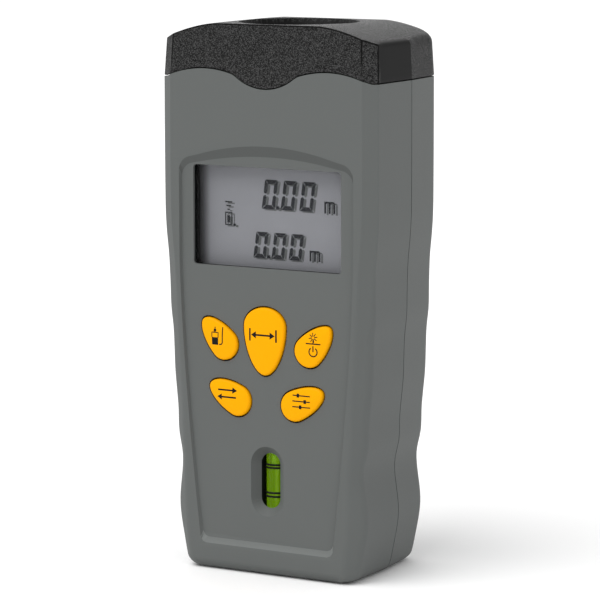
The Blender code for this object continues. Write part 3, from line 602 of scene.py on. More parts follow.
def bridge(shape: Shape, first: list, second: list, steps: int) -> None:
    """Faces between two rows of a turned solid, either of which may be a single point."""
    for step in range(steps):
        following = (step + 1) % steps
        if len(first) == 1 and len(second) == 1:
            return
        if len(first) == 1:
            shape.faces.new((first[0], second[step], second[following]))
        elif len(second) == 1:
            shape.faces.new((first[following], first[step], second[0]))
        else:
            shape.faces.new((first[step], first[following], second[following], second[step]))


def block(name: str, low: Sequence[float], high: Sequence[float]) -> Piece:
    """Box between two corners."""
    low, high = Vector(low), Vector(high)
    shape = bmesh.new()
    stretch = Matrix.Diagonal((*(high - low), 1.0))
    bmesh.ops.create_cube(shape, size=1.0, matrix=Matrix.Translation((low + high) / 2) @ stretch)
    return from_bmesh(name, shape)


def merge(name: str, pieces: Iterable[Piece]) -> Piece:
    """Join several objects into one and remove them."""
    shape = bmesh.new()
    for piece in pieces:
        shape.from_mesh(piece.data)
        bpy.data.objects.remove(piece, do_unlink=True)
    mesh = bpy.data.meshes.new(name)
    shape.to_mesh(mesh)
    shape.free()
    return add_object(name, mesh)


def boolean(obj: Piece, tool: Piece, operation: str = "DIFFERENCE") -> None:
    """Cut or join an object with a tool, which is then removed."""
    modifier = obj.modifiers.new(operation.lower(), "BOOLEAN")
    modifier.operation = operation
    modifier.solver = "EXACT"
    modifier.object = tool
    bake(obj)
    bpy.data.objects.remove(tool, do_unlink=True)


def bake(obj: Piece) -> None:
    """Turn an object's modifiers into plain mesh."""
    bpy.context.view_layer.update()
    evaluated = obj.evaluated_get(bpy.context.evaluated_depsgraph_get())
    mesh = bpy.data.meshes.new_from_object(evaluated)
    old = obj.data
    obj.modifiers.clear()
    obj.data = mesh
    mesh.name = obj.name
    if old.users == 0:
        bpy.data.meshes.remove(old)


def soften(obj: Piece, width: float, segments: int = 2) -> None:
    """Round an object's sharp edges and even out its shading."""
    bpy.context.view_layer.update()
    with edited(obj.data) as shape:
        bmesh.ops.remove_doubles(shape, verts=shape.verts, dist=CLOSE)
        bmesh.ops.dissolve_degenerate(shape, edges=shape.edges, dist=CLOSE)
    if width > 0.0:
        rounding = obj.modifiers.new("rounding", "BEVEL")
        rounding.width = width
        rounding.segments = segments
        rounding.limit_method = "ANGLE"
        rounding.angle_limit = math.radians(35.0)
        rounding.use_clamp_overlap = True
        bake(obj)
    obj.data.shade_smooth()
    obj.data.set_sharp_from_angle(angle=math.radians(40.0))
    weighted = obj.modifiers.new("weighted", "WEIGHTED_NORMAL")
    weighted.keep_sharp = True
    weighted.weight = 80
    bake(obj)


def rounded(corners: Sequence[tuple[float, float, float]], steps: int,
            runs: Sequence[int] = ()) -> list[Point2]:
    """Path through corners that are rounded by arcs.

    Args:
        corners: Points of (x, y, radius); the two ends have no arc.
        steps: Faces in each arc.
        runs: Faces in each straight run, where a run has more than one.

    Returns:
        Points of the path.
    """
    arcs = [[Vector(corners[0][:2])]]
    for before, corner, after in zip(corners, corners[1:], corners[2:]):
        point = Vector(corner[:2])
        back = (Vector(before[:2]) - point).normalized()
        ahead = (Vector(after[:2]) - point).normalized()
        half = back.angle(ahead) / 2
        middle = point + (back + ahead).normalized() * (corner[2] / math.sin(half))
        start = point + back * (corner[2] / math.tan(half)) - middle
        end = point + ahead * (corner[2] / math.tan(half)) - middle
        first = math.atan2(start.y, start.x)
        sweep = math.atan2(end.y, end.x) - first
        sweep = (sweep + math.pi) % math.tau - math.pi
        arc = []
        for step in range(steps + 1):
            angle = first + sweep * step / steps
            arc.append(middle + corner[2] * Vector((math.cos(angle), math.sin(angle))))
        arcs.append(arc)
    arcs.append([Vector(corners[-1][:2])])
    path = []
    for index, arc in enumerate(arcs):
        path.extend(tuple(point) for point in arc)
        pieces = runs[index] if index < len(runs) else 1
        if index + 1 < len(arcs):
            following = arcs[index + 1][0]
            path.extend(tuple(arc[-1].lerp(following, piece / pieces))
                        for piece in range(1, pieces))
    return path


def mirrored(right: Sequence[Point2]) -> list[Point2]:
    """Right half of a path, followed by its mirror image in reverse."""
    return list(right) + [(-x, y) for x, y in reversed(right)]


def blend_table(table: Sequence[Point2], height: float) -> float:
    """Smooth value of a (height, value) table in millimetres, returned in metres."""
    level = height / MM
    last = len(table) - 1
    index = 0
    while index < last - 1 and level > table[index + 1][0]:
        index += 1
    low, start = table[index]
    high, end = table[index + 1]
    share = min(max((level - low) / (high - low), 0.0), 1.0)
    before = table[max(index - 1, 0)]
    after = table[min(index + 2, last)]
    leave = (end - before[1]) / (high - before[0]) * (high - low)
    arrive = (after[1] - start) / (after[0] - low) * (high - low)
    square = share * share
    cube = square * share
    return MM * ((2 * cube - 3 * square + 1) * start + (cube - 2 * square + share) * leave
                 + (3 * square - 2 * cube) * end + (cube - square) * arrive)


def smoothstep(value: float, low: float, high: float) -> float:
    """Smooth rise from zero at low to one at high."""
    share = min(max((value - low) / (high - low), 0.0), 1.0)
    return share * share * (3.0 - 2.0 * share)


def dress(piece: Piece, look: Looks) -> None:
    """Give an object one finish."""
    piece.data.materials.clear()
    piece.data.materials.append(look.value.material())


def place(piece: Piece, body: str, slot: str, look: Looks | None,
          *replaced: str) -> None:
    """Finish a piece, hang it on its body and log it.

    Args:
        piece: The finished object.
        body: The body that it rides on.
        slot: The record's material slot; not used.
        look: Its finish, or None where it has several already.
        *replaced: CAD nodes that it stands for.
    """
    if look is not None:
        dress(piece, look)
    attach(piece, body)
    if replaced:
        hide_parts(*replaced)
    LOG.info("%s on %s: %d faces", piece.name, body, len(piece.data.polygons))


# ---- geometry node tools


class Grower:
    """A Geometry Nodes tree with named inputs, applied once to make a mesh."""

    def __init__(self, name: str, sizes: dict[str, float], look: Looks) -> None:
        """Start a tree.

        Args:
            name: Name of the tree and of the finished piece.
            sizes: Named inputs with their values.
            look: Finish that the tree sets.
        """
        self.name = name
        self.look = look
        self.sizes = sizes
        self.tree = bpy.data.node_groups.new(name, "GeometryNodeTree")
        self.graph = Graph(self.tree)
        ports = self.tree.interface
        ports.new_socket("Geometry", in_out="OUTPUT", socket_type="NodeSocketGeometry")
        self.ports = {}
        for label in sizes:
            self.ports[label] = ports.new_socket(label, in_out="INPUT",
                                                 socket_type="NodeSocketFloat")

    def size(self, label: str) -> Value:
        """Named input of the tree."""
        return self.graph.add("NodeGroupInput", output=label)

    def move(self, geometry: Value, across: object, along: object, up: object) -> Value:
        """Set positions from three values."""
        point = self.graph.add("ShaderNodeCombineXYZ", None, {0: across, 1: along, 2: up})
        return self.graph.add("GeometryNodeSetPosition", None,
                              {"Geometry": geometry, "Position": point})

    def copies(self, points: Value, shape: Value, **more: object) -> Value:
        """Copies of a shape on points."""
        inputs = {"Points": points, "Instance": shape}
        inputs.update({name.title(): value for name, value in more.items()})
        return self.graph.add("GeometryNodeInstanceOnPoints", None, inputs)

    def spots(self, places: Iterable[Point3]) -> Value:
        """Points at given places."""
        return self.joined(*[self.graph.add("GeometryNodeMeshLine", {"mode": "OFFSET"},
                                            {"Count": 1, "Start Location": place,
                                             "Offset": (0.0, 0.0, 0.0)}) for place in places])

    def joined(self, *shapes: Value) -> Value:
        """Several shapes as one."""
        return self.graph.add("GeometryNodeJoinGeometry", None, {0: list(shapes)})

    def finish(self, geometry: Value) -> Piece:
        """Close the tree, run it and return its plain mesh.

        Args:
            geometry: What the tree has made.

        Returns:
            The finished object.
        """
        real = self.graph.add("GeometryNodeRealizeInstances", None, {"Geometry": geometry})
        painted = self.graph.add("GeometryNodeSetMaterial", None,
                                 {"Geometry": real, "Material": self.look.value.material()})
        self.graph.add("NodeGroupOutput", None, {0: painted})
        piece = add_object(self.name, bpy.data.meshes.new(self.name))
        modifier = piece.modifiers.new(self.name, "NODES")
        modifier.node_group = self.tree
        for label, value in self.sizes.items():
            modifier[self.ports[label].identifier] = value
        bake(piece)
        return piece


# ---- case


CASE_DEPTH = 39.0 * MM
PART_LINE = 20.3 * MM
GAP = 0.3 * MM
SHOULDER = 130.2 * MM
DOOR_TABS = (-10.75, 10.75)
CASE_SCREWS = ((-23.0, 121.0), (23.0, 121.0), (-21.2, 9.4), (21.2, 9.4))
BOARD_SCREWS = ((-27.2, 96.0), (27.2, 96.0), (-23.4, 47.5), (23.4, 47.5))


def world_y(depth: float) -> float:
    """World Y of a depth from the plane of the front face."""
    return depth - CASE_DEPTH / 2


def at_depth(outline: Sequence[Point2], depth: float) -> list[Point3]:
    """Points of an outline of (across, height) at a depth."""
    return [(across, world_y(depth), height) for across, height in outline]


def slab(outline: Sequence[Point2], near: float, far: float) -> Piece:
    """Cutter with an outline of (across, height), between two depths."""
    return loft("cutter", [at_depth(outline, near), at_depth(outline, far)])


def chest(low: Sequence[float], high: Sequence[float]) -> Piece:
    """Box cutter between two corners given in millimetres as (across, depth, height)."""
    corners = [(across * MM, world_y(depth * MM), height * MM)
               for across, depth, height in (low, high)]
    return block("cutter", *corners)


def pin(across: float, height: float, near: float, far: float, radius: float,
        steps: int = 24) -> Piece:
    """Rod along the depth axis, with its places in millimetres."""
    profile = [(0.0, near * MM), (radius * MM, near * MM), (radius * MM, far * MM),
               (0.0, far * MM)]
    return turned("rod", profile, (across * MM, world_y(0.0), height * MM), steps, "Y")


@dataclass(frozen=True)
class Seam:
    """Wavy line between case and cap across the front, in millimetres.

    Attributes:
        crest: Height of the two arches.
        middle: How far to the side they are highest.
        dip: Drop of an arch, 10 mm from its highest place.
        foot: Lowest point of the tongue between them.
        round: Radius of the tongue.
        blend: Height over which tongue and arch run together.
        level: Distance from the middle within which an arch counts as level.
    """

    crest: float = 132.8
    middle: float = 18.5
    dip: float = 1.75
    foot: float = 127.87
    round: float = 14.3
    blend: float = 0.5
    level: float = 9.0

    def height(self, across: float) -> float:
        """Height of the seam at a place across."""
        across = abs(across) / MM
        arch = self.crest - self.dip * ((max(across, self.level) - self.middle) / 10.0) ** 2
        if across >= self.round:
            return max(arch * MM, SHOULDER)
        tongue = self.foot + self.round - math.sqrt(self.round ** 2 - across ** 2)
        near = max(self.blend - abs(arch - tongue), 0.0)
        return (min(arch, tongue) - near ** 2 / 2.0) * MM


SEAM = Seam()


@dataclass
class Keys:
    """Five silicone keys with the symbols printed on them.

    Attributes:
        shapes: For each key its centre across and up, the turn of its wide end from straight
            up, its length, half width, height of the widest place and radius of the narrow end.
        crown: Depth of the highest point.
        rim: Radius of the rounded rim.
        gap: Clearance in the case.
        trim: How far the face of a key stays inside its outline.
        flange: Width of the flange behind the case.
        back: Depths of the front and back of the flange, and of the key's own back.
        swell: How much higher the middle of the face stands than its rim.
    """

    shapes: dict[str, tuple[float, ...]] = field(default_factory=lambda: {
        "measure": (-0.5, 62.15, 0.0, 18.5, 6.55, 3.9, 2.4),
        "reference": (-14.6, 62.3, -135.5, 13.6, 4.45, 2.7, 1.6),
        "laser": (14.5, 62.3, 135.5, 13.9, 4.45, 2.7, 1.4),
        "units": (-11.2, 47.0, -116.0, 13.8, 4.4, 2.7, 1.7),
        "set": (10.9, 47.0, 116.0, 14.1, 4.3, 2.7, 1.7),
    })
    crown: float = -0.25 * MM
    rim: float = 0.75 * MM
    gap: float = 0.12 * MM
    trim: float = 0.30 * MM
    flange: float = 0.9 * MM
    back: Point3 = (4.0 * MM, 5.2 * MM, 6.3 * MM)
    swell: float = 0.25 * MM

    def outline(self, shape: tuple[float, ...], grow: float = 0.0) -> list[Point2]:
        """Egg-shaped outline of a key, widened all round by grow."""
        across, height, turn, length, half, widest, narrow = shape
        top = length / 2 * MM + grow
        bottom = -length / 2 * MM - grow
        half = half * MM + grow
        widest = widest * MM
        narrow = max(narrow * MM + grow, 0.3 * MM)
        handle = 0.56 * half
        up = 0.55 * (top - widest)
        down = 0.5 * (widest - bottom)
        point = math.sqrt(narrow * (widest - down - bottom) / 1.5)
        quarters = (
            ((0, top), (handle, top), (half, widest + up), (half, widest)),
            ((half, widest), (half, widest - down), (point, bottom), (0, bottom)),
            ((0, bottom), (-point, bottom), (-half, widest - down), (-half, widest)),
            ((-half, widest), (-half, widest + up), (-handle, top), (0, top)),
        )
        turned_by = Matrix.Rotation(math.radians(turn), 2)
        centre = Vector((across, height)) * MM
        path = []
        pieces = 24
        for quarter in quarters:
            knots = [Vector((u, v, 0.0)) for u, v in quarter]
            for knot in interpolate_bezier(*knots, pieces + 1)[:-1]:
                path.append(tuple(turned_by @ knot.xy + centre))
        return path

    def holes(self) -> Piece:
        """Cutter of the key holes in the case."""
        holes = [slab(self.outline(shape, self.gap), -1.0 * MM, 4.0 * MM)
                 for shape in self.shapes.values()]
        return merge("cutter", holes)

    def cap(self, name: str) -> Piece:
        """One key with its rounded rim, crowned face, flange and back."""
        shape = self.shapes[name]
        near, far, end = self.back
        rings = [at_depth(self.outline(shape), end), at_depth(self.outline(shape), far),
                 at_depth(self.outline(shape, self.flange), far),
                 at_depth(self.outline(shape, self.flange), near),
                 at_depth(self.outline(shape, -self.trim), near)]
        base = self.crown + self.swell + self.rim
        steps = 7
        for step in range(steps + 1):
            angle = math.pi / 2 * step / steps
            edge = self.outline(shape, -self.trim - self.rim * (1.0 - math.cos(angle)))
            rings.append(at_depth(edge, base - self.rim * math.sin(angle)))
        middle = Vector(shape[:2]) * MM
        last = self.outline(shape, -self.trim - self.rim)
        for share in (0.94, 0.85, 0.72, 0.55, 0.36, 0.16, 0.04):
            scaled = [tuple(middle + (Vector(point) - middle) * share) for point in last]
            rings.append(at_depth(scaled, self.crown + self.swell * share ** 2.6))
        key = loft(name + "_key_top", rings)
        soften(key, 0.0)
        return key

    def build(self) -> None:
        """Make every key and its symbol."""
        symbols = Symbols()
        for name in self.shapes:
            key = self.cap(name)
            sign = symbols.printed("symbol_" + name, symbols.signs[name], key)
            place(key, name + "_key", "key_silicone", Looks.KEY, "key_" + name)
            place(sign, name + "_key", "key_silicone", Looks.INK)


@dataclass
class Symbols:
    """Line symbols that are printed on the keys.

    Attributes:
        signs: Strokes of each symbol, as (points, first width, last width), in millimetres.
        thickness: How deep a print sinks into what it lies on.
        height: How proud it stands.
    """

    signs: dict[str, list] = field(default_factory=dict)
    thickness: float = 0.04 * MM
    height: float = 0.015 * MM

    def __post_init__(self) -> None:
        """Draw the symbols."""
        self.signs = {"measure": self.grown(self.span(), (-0.6, 63.9), 1.1),
                      "reference": self.grown(self.datum(), (-15.2, 62.3), 1.28),
                      "laser": self.grown(self.burst(), (14.5, 62.8), 1.25),
                      "units": self.grown(self.swap(), (-11.6, 47.6), 1.25),
                      "set": self.grown(self.sliders(), (10.9, 47.4), 1.25)}

    @staticmethod
    def grown(strokes: list, middle: Point2, scale: float) -> list:
        """Strokes made larger and bolder about their middle."""
        across, height = middle
        return [([(across + (x - across) * scale, height + (z - height) * scale)
                  for x, z in points], first * scale, last * scale)
                for points, first, last in strokes]

    @staticmethod
    def span() -> list:
        """Double arrow between two bars."""
        x, z = -0.6, 63.9
        strokes = [([(x - 3.6, z + 1.5), (x - 3.6, z - 1.5)], 0.42, 0.42),
                   ([(x + 3.6, z + 1.5), (x + 3.6, z - 1.5)], 0.42, 0.42),
                   ([(x - 2.2, z), (x + 2.2, z)], 0.42, 0.42)]
        for side in (-1, 1):
            strokes.append(([(x + side * 1.9, z), (x + side * 3.2, z)], 1.7, 0.05))
        return strokes

    @staticmethod
    def datum() -> list:
        """Small meter that stands in an angle bracket."""
        x, z = -15.2, 62.3
        return [([(x - 0.75, z - 0.75), (x + 0.75, z - 0.75)], 1.55, 1.55),
                ([(x - 0.75, z), (x - 0.75, z + 1.05), (x + 0.75, z + 1.05), (x + 0.75, z)],
                 0.2, 0.2),
                ([(x, z + 1.1), (x, z + 2.2)], 0.2, 0.2),
                ([(x - 0.3, z + 1.5), (x + 0.3, z + 1.5)], 0.5, 0.5),
                ([(x + 1.0, z - 1.4), (x + 1.5, z - 1.35), (x + 1.75, z - 1.0),
                  (x + 1.75, z + 2.2)], 0.24, 0.24)]

    @staticmethod
    def burst() -> list:
        """Ray burst over a line with a power ring under it."""
        x, z = 14.5, 64.1
        strokes = [([(x - 1.75, z - 1.3), (x + 1.75, z - 1.3)], 0.26, 0.26),
                   ([(x, z - 1.2), (x, z - 0.4)], 0.2, 0.2)]
        for index in range(8):
            angle = math.tau * index / 8 + 0.2
            ray = Vector((math.cos(angle), math.sin(angle)))
            strokes.append(([(x + 0.3 * ray.x, z + 0.3 * ray.y),
                             (x + 1.05 * ray.x, z + 1.05 * ray.y)], 0.22, 0.16))
        ring = [(x + 0.95 * math.sin(angle / 10), z - 3.0 + 0.95 * math.cos(angle / 10))
                for angle in range(6, 58, 3)]
        return strokes + [(ring, 0.26, 0.26), ([(x, z - 1.75), (x, z - 3.0)], 0.26, 0.26)]

    @staticmethod
    def swap() -> list:
        """Two arrows that point opposite ways."""
        x, z = -11.6, 47.6
        strokes = []
        for side in (-1, 1):
            level = z + side * 0.75
            strokes.append(([(x - side * 2.2, level), (x + side * 1.5, level)], 0.34, 0.34))
            strokes.append(([(x + side * 1.3, level), (x + side * 2.4, level)], 1.3, 0.05))
        return strokes

    @staticmethod
    def sliders() -> list:
        """Three slider rails with a knob on each."""
        x, z = 10.9, 47.4
        strokes = []
        for row, knob in ((1.2, -0.8), (0.0, 0.9), (-1.2, -0.2)):
            strokes.append(([(x - 2.1, z + row), (x + 2.1, z + row)], 0.24, 0.24))
            strokes.append(([(x + knob - 0.3, z + row), (x + knob + 0.3, z + row)], 0.8, 0.8))
        return strokes

    def ribbon(self, shape: Shape, stroke: tuple, lay: Callable) -> None:
        """One stroke as a thin band.

        Args:
            shape: Mesh that it is added to.
            stroke: Its points and its first and last width.
            lay: Gives the depth of the ground at a place.
        """
        points, first, last = stroke
        path = [Vector(points[0])]
        for start, end in zip(points, points[1:]):
            count = max(int(math.dist(start, end) / 0.3), 1)
            path += [Vector(start).lerp(Vector(end), step / count)
                     for step in range(1, count + 1)]
        rows = []
        for index, point in enumerate(path):
            ahead = path[min(index + 1, len(path) - 1)] - path[max(index - 1, 0)]
            across = Vector((-ahead.y, ahead.x)).normalized()
            wide = first + (last - first) * index / (len(path) - 1)
            row = []
            for side, lift in ((-1, self.height), (-0.33, self.height), (0.33, self.height),
                               (1, self.height), (1, -self.thickness), (-1, -self.thickness)):
                spot = (point + across * (side * wide / 2)) * MM
                row.append(shape.verts.new((spot.x, lay(spot) - lift, spot.y)))
            rows.append(row)
        for lower, upper in zip(rows, rows[1:]):
            for corner in range(6):
                following = (corner + 1) % 6
                shape.faces.new((lower[corner], lower[following], upper[following],
                                 upper[corner]))
        shape.faces.new(rows[0])
        shape.faces.new(rows[-1])

    def printed(self, name: str, strokes: list, ground: Piece) -> Piece:
        """Symbol laid on the front of an object."""
        surface = BVHTree.FromPolygons([tuple(vertex.co) for vertex in ground.data.vertices],
                                       [tuple(face.vertices) for face in ground.data.polygons])

        def lay(spot: Vector) -> float:
            """Depth of the ground at a spot of (across, height)."""
            hit = surface.ray_cast(Vector((spot.x, -1.0, spot.y)), Vector((0.0, 1.0, 0.0)))[0]
            return hit.y

        shape = bmesh.new()
        for stroke in strokes:
            self.ribbon(shape, stroke, lay)
        return from_bmesh(name, shape)


@dataclass
class Case:
    """Grey case in two halves, split behind its middle.

    Attributes:
        sides: Height, then half width at the outer edge of the front corners.
        faces: Height, then half width of the flat front.
        chamfer: Depth of the front corners.
        slant: Slope of the rear part of the sides.
        rear_radius: Radius of the rear corners.
        wall: Wall of the sides and the back.
        front_wall: Wall of the front.
        foot: Rounding of the base.
        panel_sink: Depth of the sunk panel.
        edge: Rounding of the finished edges.
        rear_part, front_part, top_part: What is cut off to leave one half.
        window_seat: Recess round the window, behind the front.
        bay_walls, seat_walls: Solids that the bay and the door's seat are cut from.
        bay: Space of the battery.
        notch: Passage of the battery leads.
        case_post to head_hole: Near end, far end and radius of each screw's posts and holes.
    """

    sides: tuple[Point2, ...] = (
        (0.0, 25.4), (6.0, 26.9), (16.5, 28.6), (29.0, 27.4), (36.0, 28.7), (42.5, 28.95),
        (52.0, 29.9), (58.0, 30.1), (63.5, 30.3), (69.0, 30.9), (75.5, 31.0), (83.0, 31.25),
        (90.0, 31.9), (97.0, 32.2), (134.0, 32.2))
    faces: tuple[Point2, ...] = (
        (0.0, 23.2), (15.0, 24.5), (30.0, 25.1), (50.0, 25.7), (65.0, 26.6), (80.0, 27.5),
        (95.0, 28.65), (134.0, 28.7))
    chamfer: float = 2.65 * MM
    slant: float = math.radians(5.5)
    rear_radius: float = 5.2 * MM
    wall: float = 2.0 * MM
    front_wall: float = 2.8 * MM
    foot: float = 2.6 * MM
    panel_sink: float = 0.8 * MM
    edge: float = 0.22 * MM
    rear_part: Box = ((-100, 20.15, -100), (100, 100, 200))
    front_part: Box = ((-100, -100, -100), (100, 20.45, 200))
    top_part: Box = ((-100, -100, 130.2), (100, 100, 200))
    window_seat: Box = ((-23.7, 1.5, 79.9), (23.7, 4.0, 109.1))
    bay_walls: Box = ((-16, 17.4, 4.2), (16, 37.6, 62))
    seat_walls: Box = ((-19, 35.2, 1.0), (19, 37.8, 65))
    bay: Box = ((-14.4, 18.9, 5.8), (14.4, 45, 60.4))
    notch: Box = ((-4.5, 17.0, 58.6), (4.5, 24.0, 62.5))
    case_post: Point3 = (2.4, 20.1, 3.0)
    board_post: Point3 = (2.4, 9.3, 1.7)
    case_bore: Point3 = (8.5, 30.0, 1.4)
    board_bore: Point3 = (5.6, 12.0, 0.95)
    boss: Point3 = (20.45, 37.5, 3.3)
    shank_hole: Point3 = (15.0, 30.0, 1.45)
    head_hole: Point3 = (26.0, 45.0, 2.5)

    def plan(self, half: float, face: float, front: float, inset: float = 0.0,
             bend: float = 0.6 * MM, steps: int = 5, runs: Sequence[int] = (),
             crease: float = 0.5 * MM) -> list[Point2]:
        """Plan outline of (across, depth), from the middle of the front round to the back.

        Args:
            half: Half width over the sides.
            face: Half width of the flat front.
            front: Depth of the front.
            inset: How far the outline is drawn in.
            bend: Radius of the two front corners.
            steps: Faces in each corner.
            runs: Faces in each straight run.
            crease: Radius of the bend behind the middle of the side.

        Returns:
            Right half of the outline, with both points on the middle line left in.
        """
        start = front + self.chamfer - 0.2 * inset
        back = CASE_DEPTH - inset
        rear = half - math.tan(self.slant) * (back - PART_LINE)
        corners = [(0.0, front, 0.0), (face, front, bend), (half, start, bend),
                   (half, PART_LINE, crease), (rear, back, self.rear_radius - 0.5 * inset),
                   (0.0, back, 0.0)]
        return rounded(corners, steps, runs)

    def section(self, height: float, inset: float = 0.0, front: float = 0.0,
                steps: int = 5) -> list[Point3]:
        """Closed outline of the case at a height."""
        half = blend_table(self.sides, height) - inset
        face = blend_table(self.faces, height) - 0.8 * inset
        bend = (0.6 + 2.4 * (1.0 - smoothstep(height / MM, 58.0, 92.0))) * MM
        right = self.plan(half, face, front, inset, bend, steps)[1:-1]
        return [(across, world_y(depth), height) for across, depth in mirrored(right)]

    def body(self, name: str) -> Piece:
        """Outside of both halves as one solid."""
        rings = []
        steps = 6
        for step in range(steps):
            angle = math.pi / 2 * step / steps
            inset = self.foot * (1.0 - math.sin(angle))
            height = self.foot * (1.0 - math.cos(angle))
            rings.append(self.section(height, inset, inset))
        level = self.foot
        while level <= 134.0 * MM:
            rings.append(self.section(level))
            level += 1.5 * MM
        return loft(name, rings)

    def hollow(self) -> Piece:
        """Space inside the case, open towards the cap."""
        levels = [2.2] + [level for level, _ in self.sides[1:-1]] + [136.0]
        return loft("cutter", [self.section(level * MM, self.wall, self.front_wall, 2)
                               for level in levels])

    def seam(self) -> Piece:
        """Cutter above the wavy seam of the front half."""
        reach = 36.0
        edge = [(across / 5 * MM, SEAM.height(across / 5 * MM))
                for across in range(int(-reach * 5), int(reach * 5) + 1)]
        return slab(edge + [(reach * MM, 150.0 * MM), (-reach * MM, 150.0 * MM)],
                    -5.0 * MM, 45.0 * MM)

    def panel_edge(self, top: float, bottom: float, half_top: float, half_bottom: float,
                   drop: float) -> list[Point2]:
        """Outline of the sunk panel, with an arched top and sides that draw in."""
        right = [(half_bottom - 1.5, bottom), (half_bottom - 0.6, bottom + 0.35),
                 (half_bottom - 0.15, bottom + 0.9)]
        level = bottom + 1.5
        while level <= 85.0:
            fall = (85.0 - level) / (85.0 - bottom)
            right.append((half_bottom + (half_top - half_bottom) * (1.0 - fall ** 1.5), level))
            level += 2.5
        corner = 4.0
        end = half_top - corner
        crest = top - drop * (end / 20.0) ** 2
        for step in range(9):
            angle = math.radians(75.0 * step / 8)
            right.append((end + corner * math.cos(angle), crest - corner * (1 - math.sin(angle))))
        right += [(float(across), top - drop * (across / 20.0) ** 2)
                  for across in range(20, 0, -2)]
        return [(across * MM, height * MM) for across, height in mirrored(right)]

    def panel(self) -> Piece:
        """Cutter of the sunk panel: a long slope at its top, a ledge at its foot."""
        outer = self.panel_edge(113.2, 6.9, 26.2, 20.0, 2.8)
        inner = self.panel_edge(110.4, 8.4, 25.85, 19.65, 2.0)
        return loft("cutter", [at_depth(outer, -1.0 * MM), at_depth(outer, 0.0),
                               at_depth(inner, self.panel_sink)])

    @staticmethod
    def frame_outline(half: float, low: float, high: float, corner: float) -> list[Point2]:
        """Rectangle with rounded corners, in millimetres."""
        path = rounded([(0.0, low, 0.0), (half, low, corner), (half, high, corner),
                        (0.0, high, 0.0)], 5)[1:-1]
        return [(across * MM, height * MM) for across, height in mirrored(path)]

    @staticmethod
    def slot_outline(half: float, half_height: float) -> list[Point2]:
        """Upright slot with round ends over the vial."""
        middle, steps = 24.95, 16
        outline = []
        for side, start in ((1, 0.0), (-1, math.pi)):
            for step in range(steps + 1):
                angle = start + math.pi * step / steps
                outline.append((half * math.cos(angle) * MM,
                                (middle + side * (half_height - half) + half * math.sin(angle))
                                * MM))
        return outline

    def slot(self) -> Piece:
        """Cutter of the slot with its sloping rim."""
        outer = self.slot_outline(4.95, 9.35)
        inner = self.slot_outline(2.85, 7.35)
        return loft("cutter", [at_depth(outer, -1.0 * MM), at_depth(outer, self.panel_sink),
                               at_depth(inner, self.front_wall),
                               at_depth(inner, self.front_wall + 1.0 * MM)])

    def mark(self, mesh: bpy.types.Mesh) -> None:
        """Mark the sunk slopes that turn away from the light for painted shade, and the edges
        that face it for painted highlights.
        """
        hollow = mesh.attributes.new("hollow", "FLOAT", "FACE")
        ledge = mesh.attributes.new("ledge", "FLOAT", "FACE")
        for index, face in enumerate(mesh.polygons):
            across, along, height = face.center
            depth = along + CASE_DEPTH / 2
            rim = SEAM.height(across) - height < 0.4 * MM and depth < 1.0 * MM
            # Painted highlight along the rounded top edge of the front half, under the seam.
            if rim and face.normal.z > 0.15:
                ledge.data[index].value = 0.7
            if face.normal.y > -0.3 or not 0.0 < depth < self.front_wall:
                continue
            # Painted shade on the arched slope over the window, a painted highlight on the ledge
            # at the panel's foot, and painted shade on the left and upper slopes of the slot's
            # rim.
            if height > 100.0 * MM and face.normal.z < -0.1:
                hollow.data[index].value = 1.0
            elif height < 9.5 * MM and face.normal.z > 0.1 and depth < self.panel_sink:
                ledge.data[index].value = 0.8
            elif height < 36.0 * MM and abs(across) < 5.2 * MM:
                hollow.data[index].value = min(max(face.normal.x - face.normal.z, 0.0), 1.0)

    def front(self, keys: Keys) -> Piece:
        """Front half with its panel, window, key holes, slot and posts."""
        shell = self.body("front_case")
        boolean(shell, chest(*self.rear_part))
        boolean(shell, self.hollow())
        boolean(shell, self.seam())
        boolean(shell, self.panel())
        window = slab(self.frame_outline(22.25, 81.3, 107.6, 0.9), -1.0 * MM, 4.0 * MM)
        boolean(shell, merge("cutter", [window, self.slot(), keys.holes()]))
        boolean(shell, chest(*self.window_seat))
        soften(shell, self.edge)
        self.mark(shell.data)
        posts = [pin(*spot, *self.case_post) for spot in CASE_SCREWS]
        posts += [pin(*spot, *self.board_post) for spot in BOARD_SCREWS]
        boolean(shell, merge("cutter", posts), "UNION")
        bores = [pin(*spot, *self.case_bore) for spot in CASE_SCREWS]
        bores += [pin(*spot, *self.board_bore) for spot in BOARD_SCREWS]
        boolean(shell, merge("cutter", bores))
        return shell

    def back(self) -> Piece:
        """Back half with its battery bay, door seat and screw holes."""
        shell = self.body("back_case")
        boolean(shell, chest(*self.front_part))
        boolean(shell, self.hollow())
        boolean(shell, chest(*self.top_part))
        boolean(shell, chest(*self.bay_walls), "UNION")
        boolean(shell, chest(*self.seat_walls), "UNION")
        bosses = [pin(*spot, *self.boss) for spot in CASE_SCREWS]
        boolean(shell, merge("cutter", bosses), "UNION")
        boolean(shell, chest(*self.bay))
        seat = slab(self.frame_outline(17.3, 3.7, 63.3, 1.4), 36.7 * MM, 45.0 * MM)
        boolean(shell, seat)
        pockets = [chest((tab - 1.6, 33.5, 2.3), (tab + 1.6, 37.5, 6.3)) for tab in DOOR_TABS]
        boolean(shell, merge("cutter", pockets))
        boolean(shell, chest(*self.notch))
        boolean(shell, merge("cutter", [pin(*spot, *self.shank_hole) for spot in CASE_SCREWS]))
        boolean(shell, merge("cutter", [pin(*spot, *self.head_hole, 32)
                                        for spot in CASE_SCREWS]))
        soften(shell, self.edge)
        return shell

    def build(self, keys: Keys) -> None:
        """Make both halves."""
        place(self.front(keys), "case", "case_plastic", Looks.CASE, "front_shell")
        place(self.back(), "case", "case_plastic", Looks.CASE, "back_shell")


# ---- cap and horn


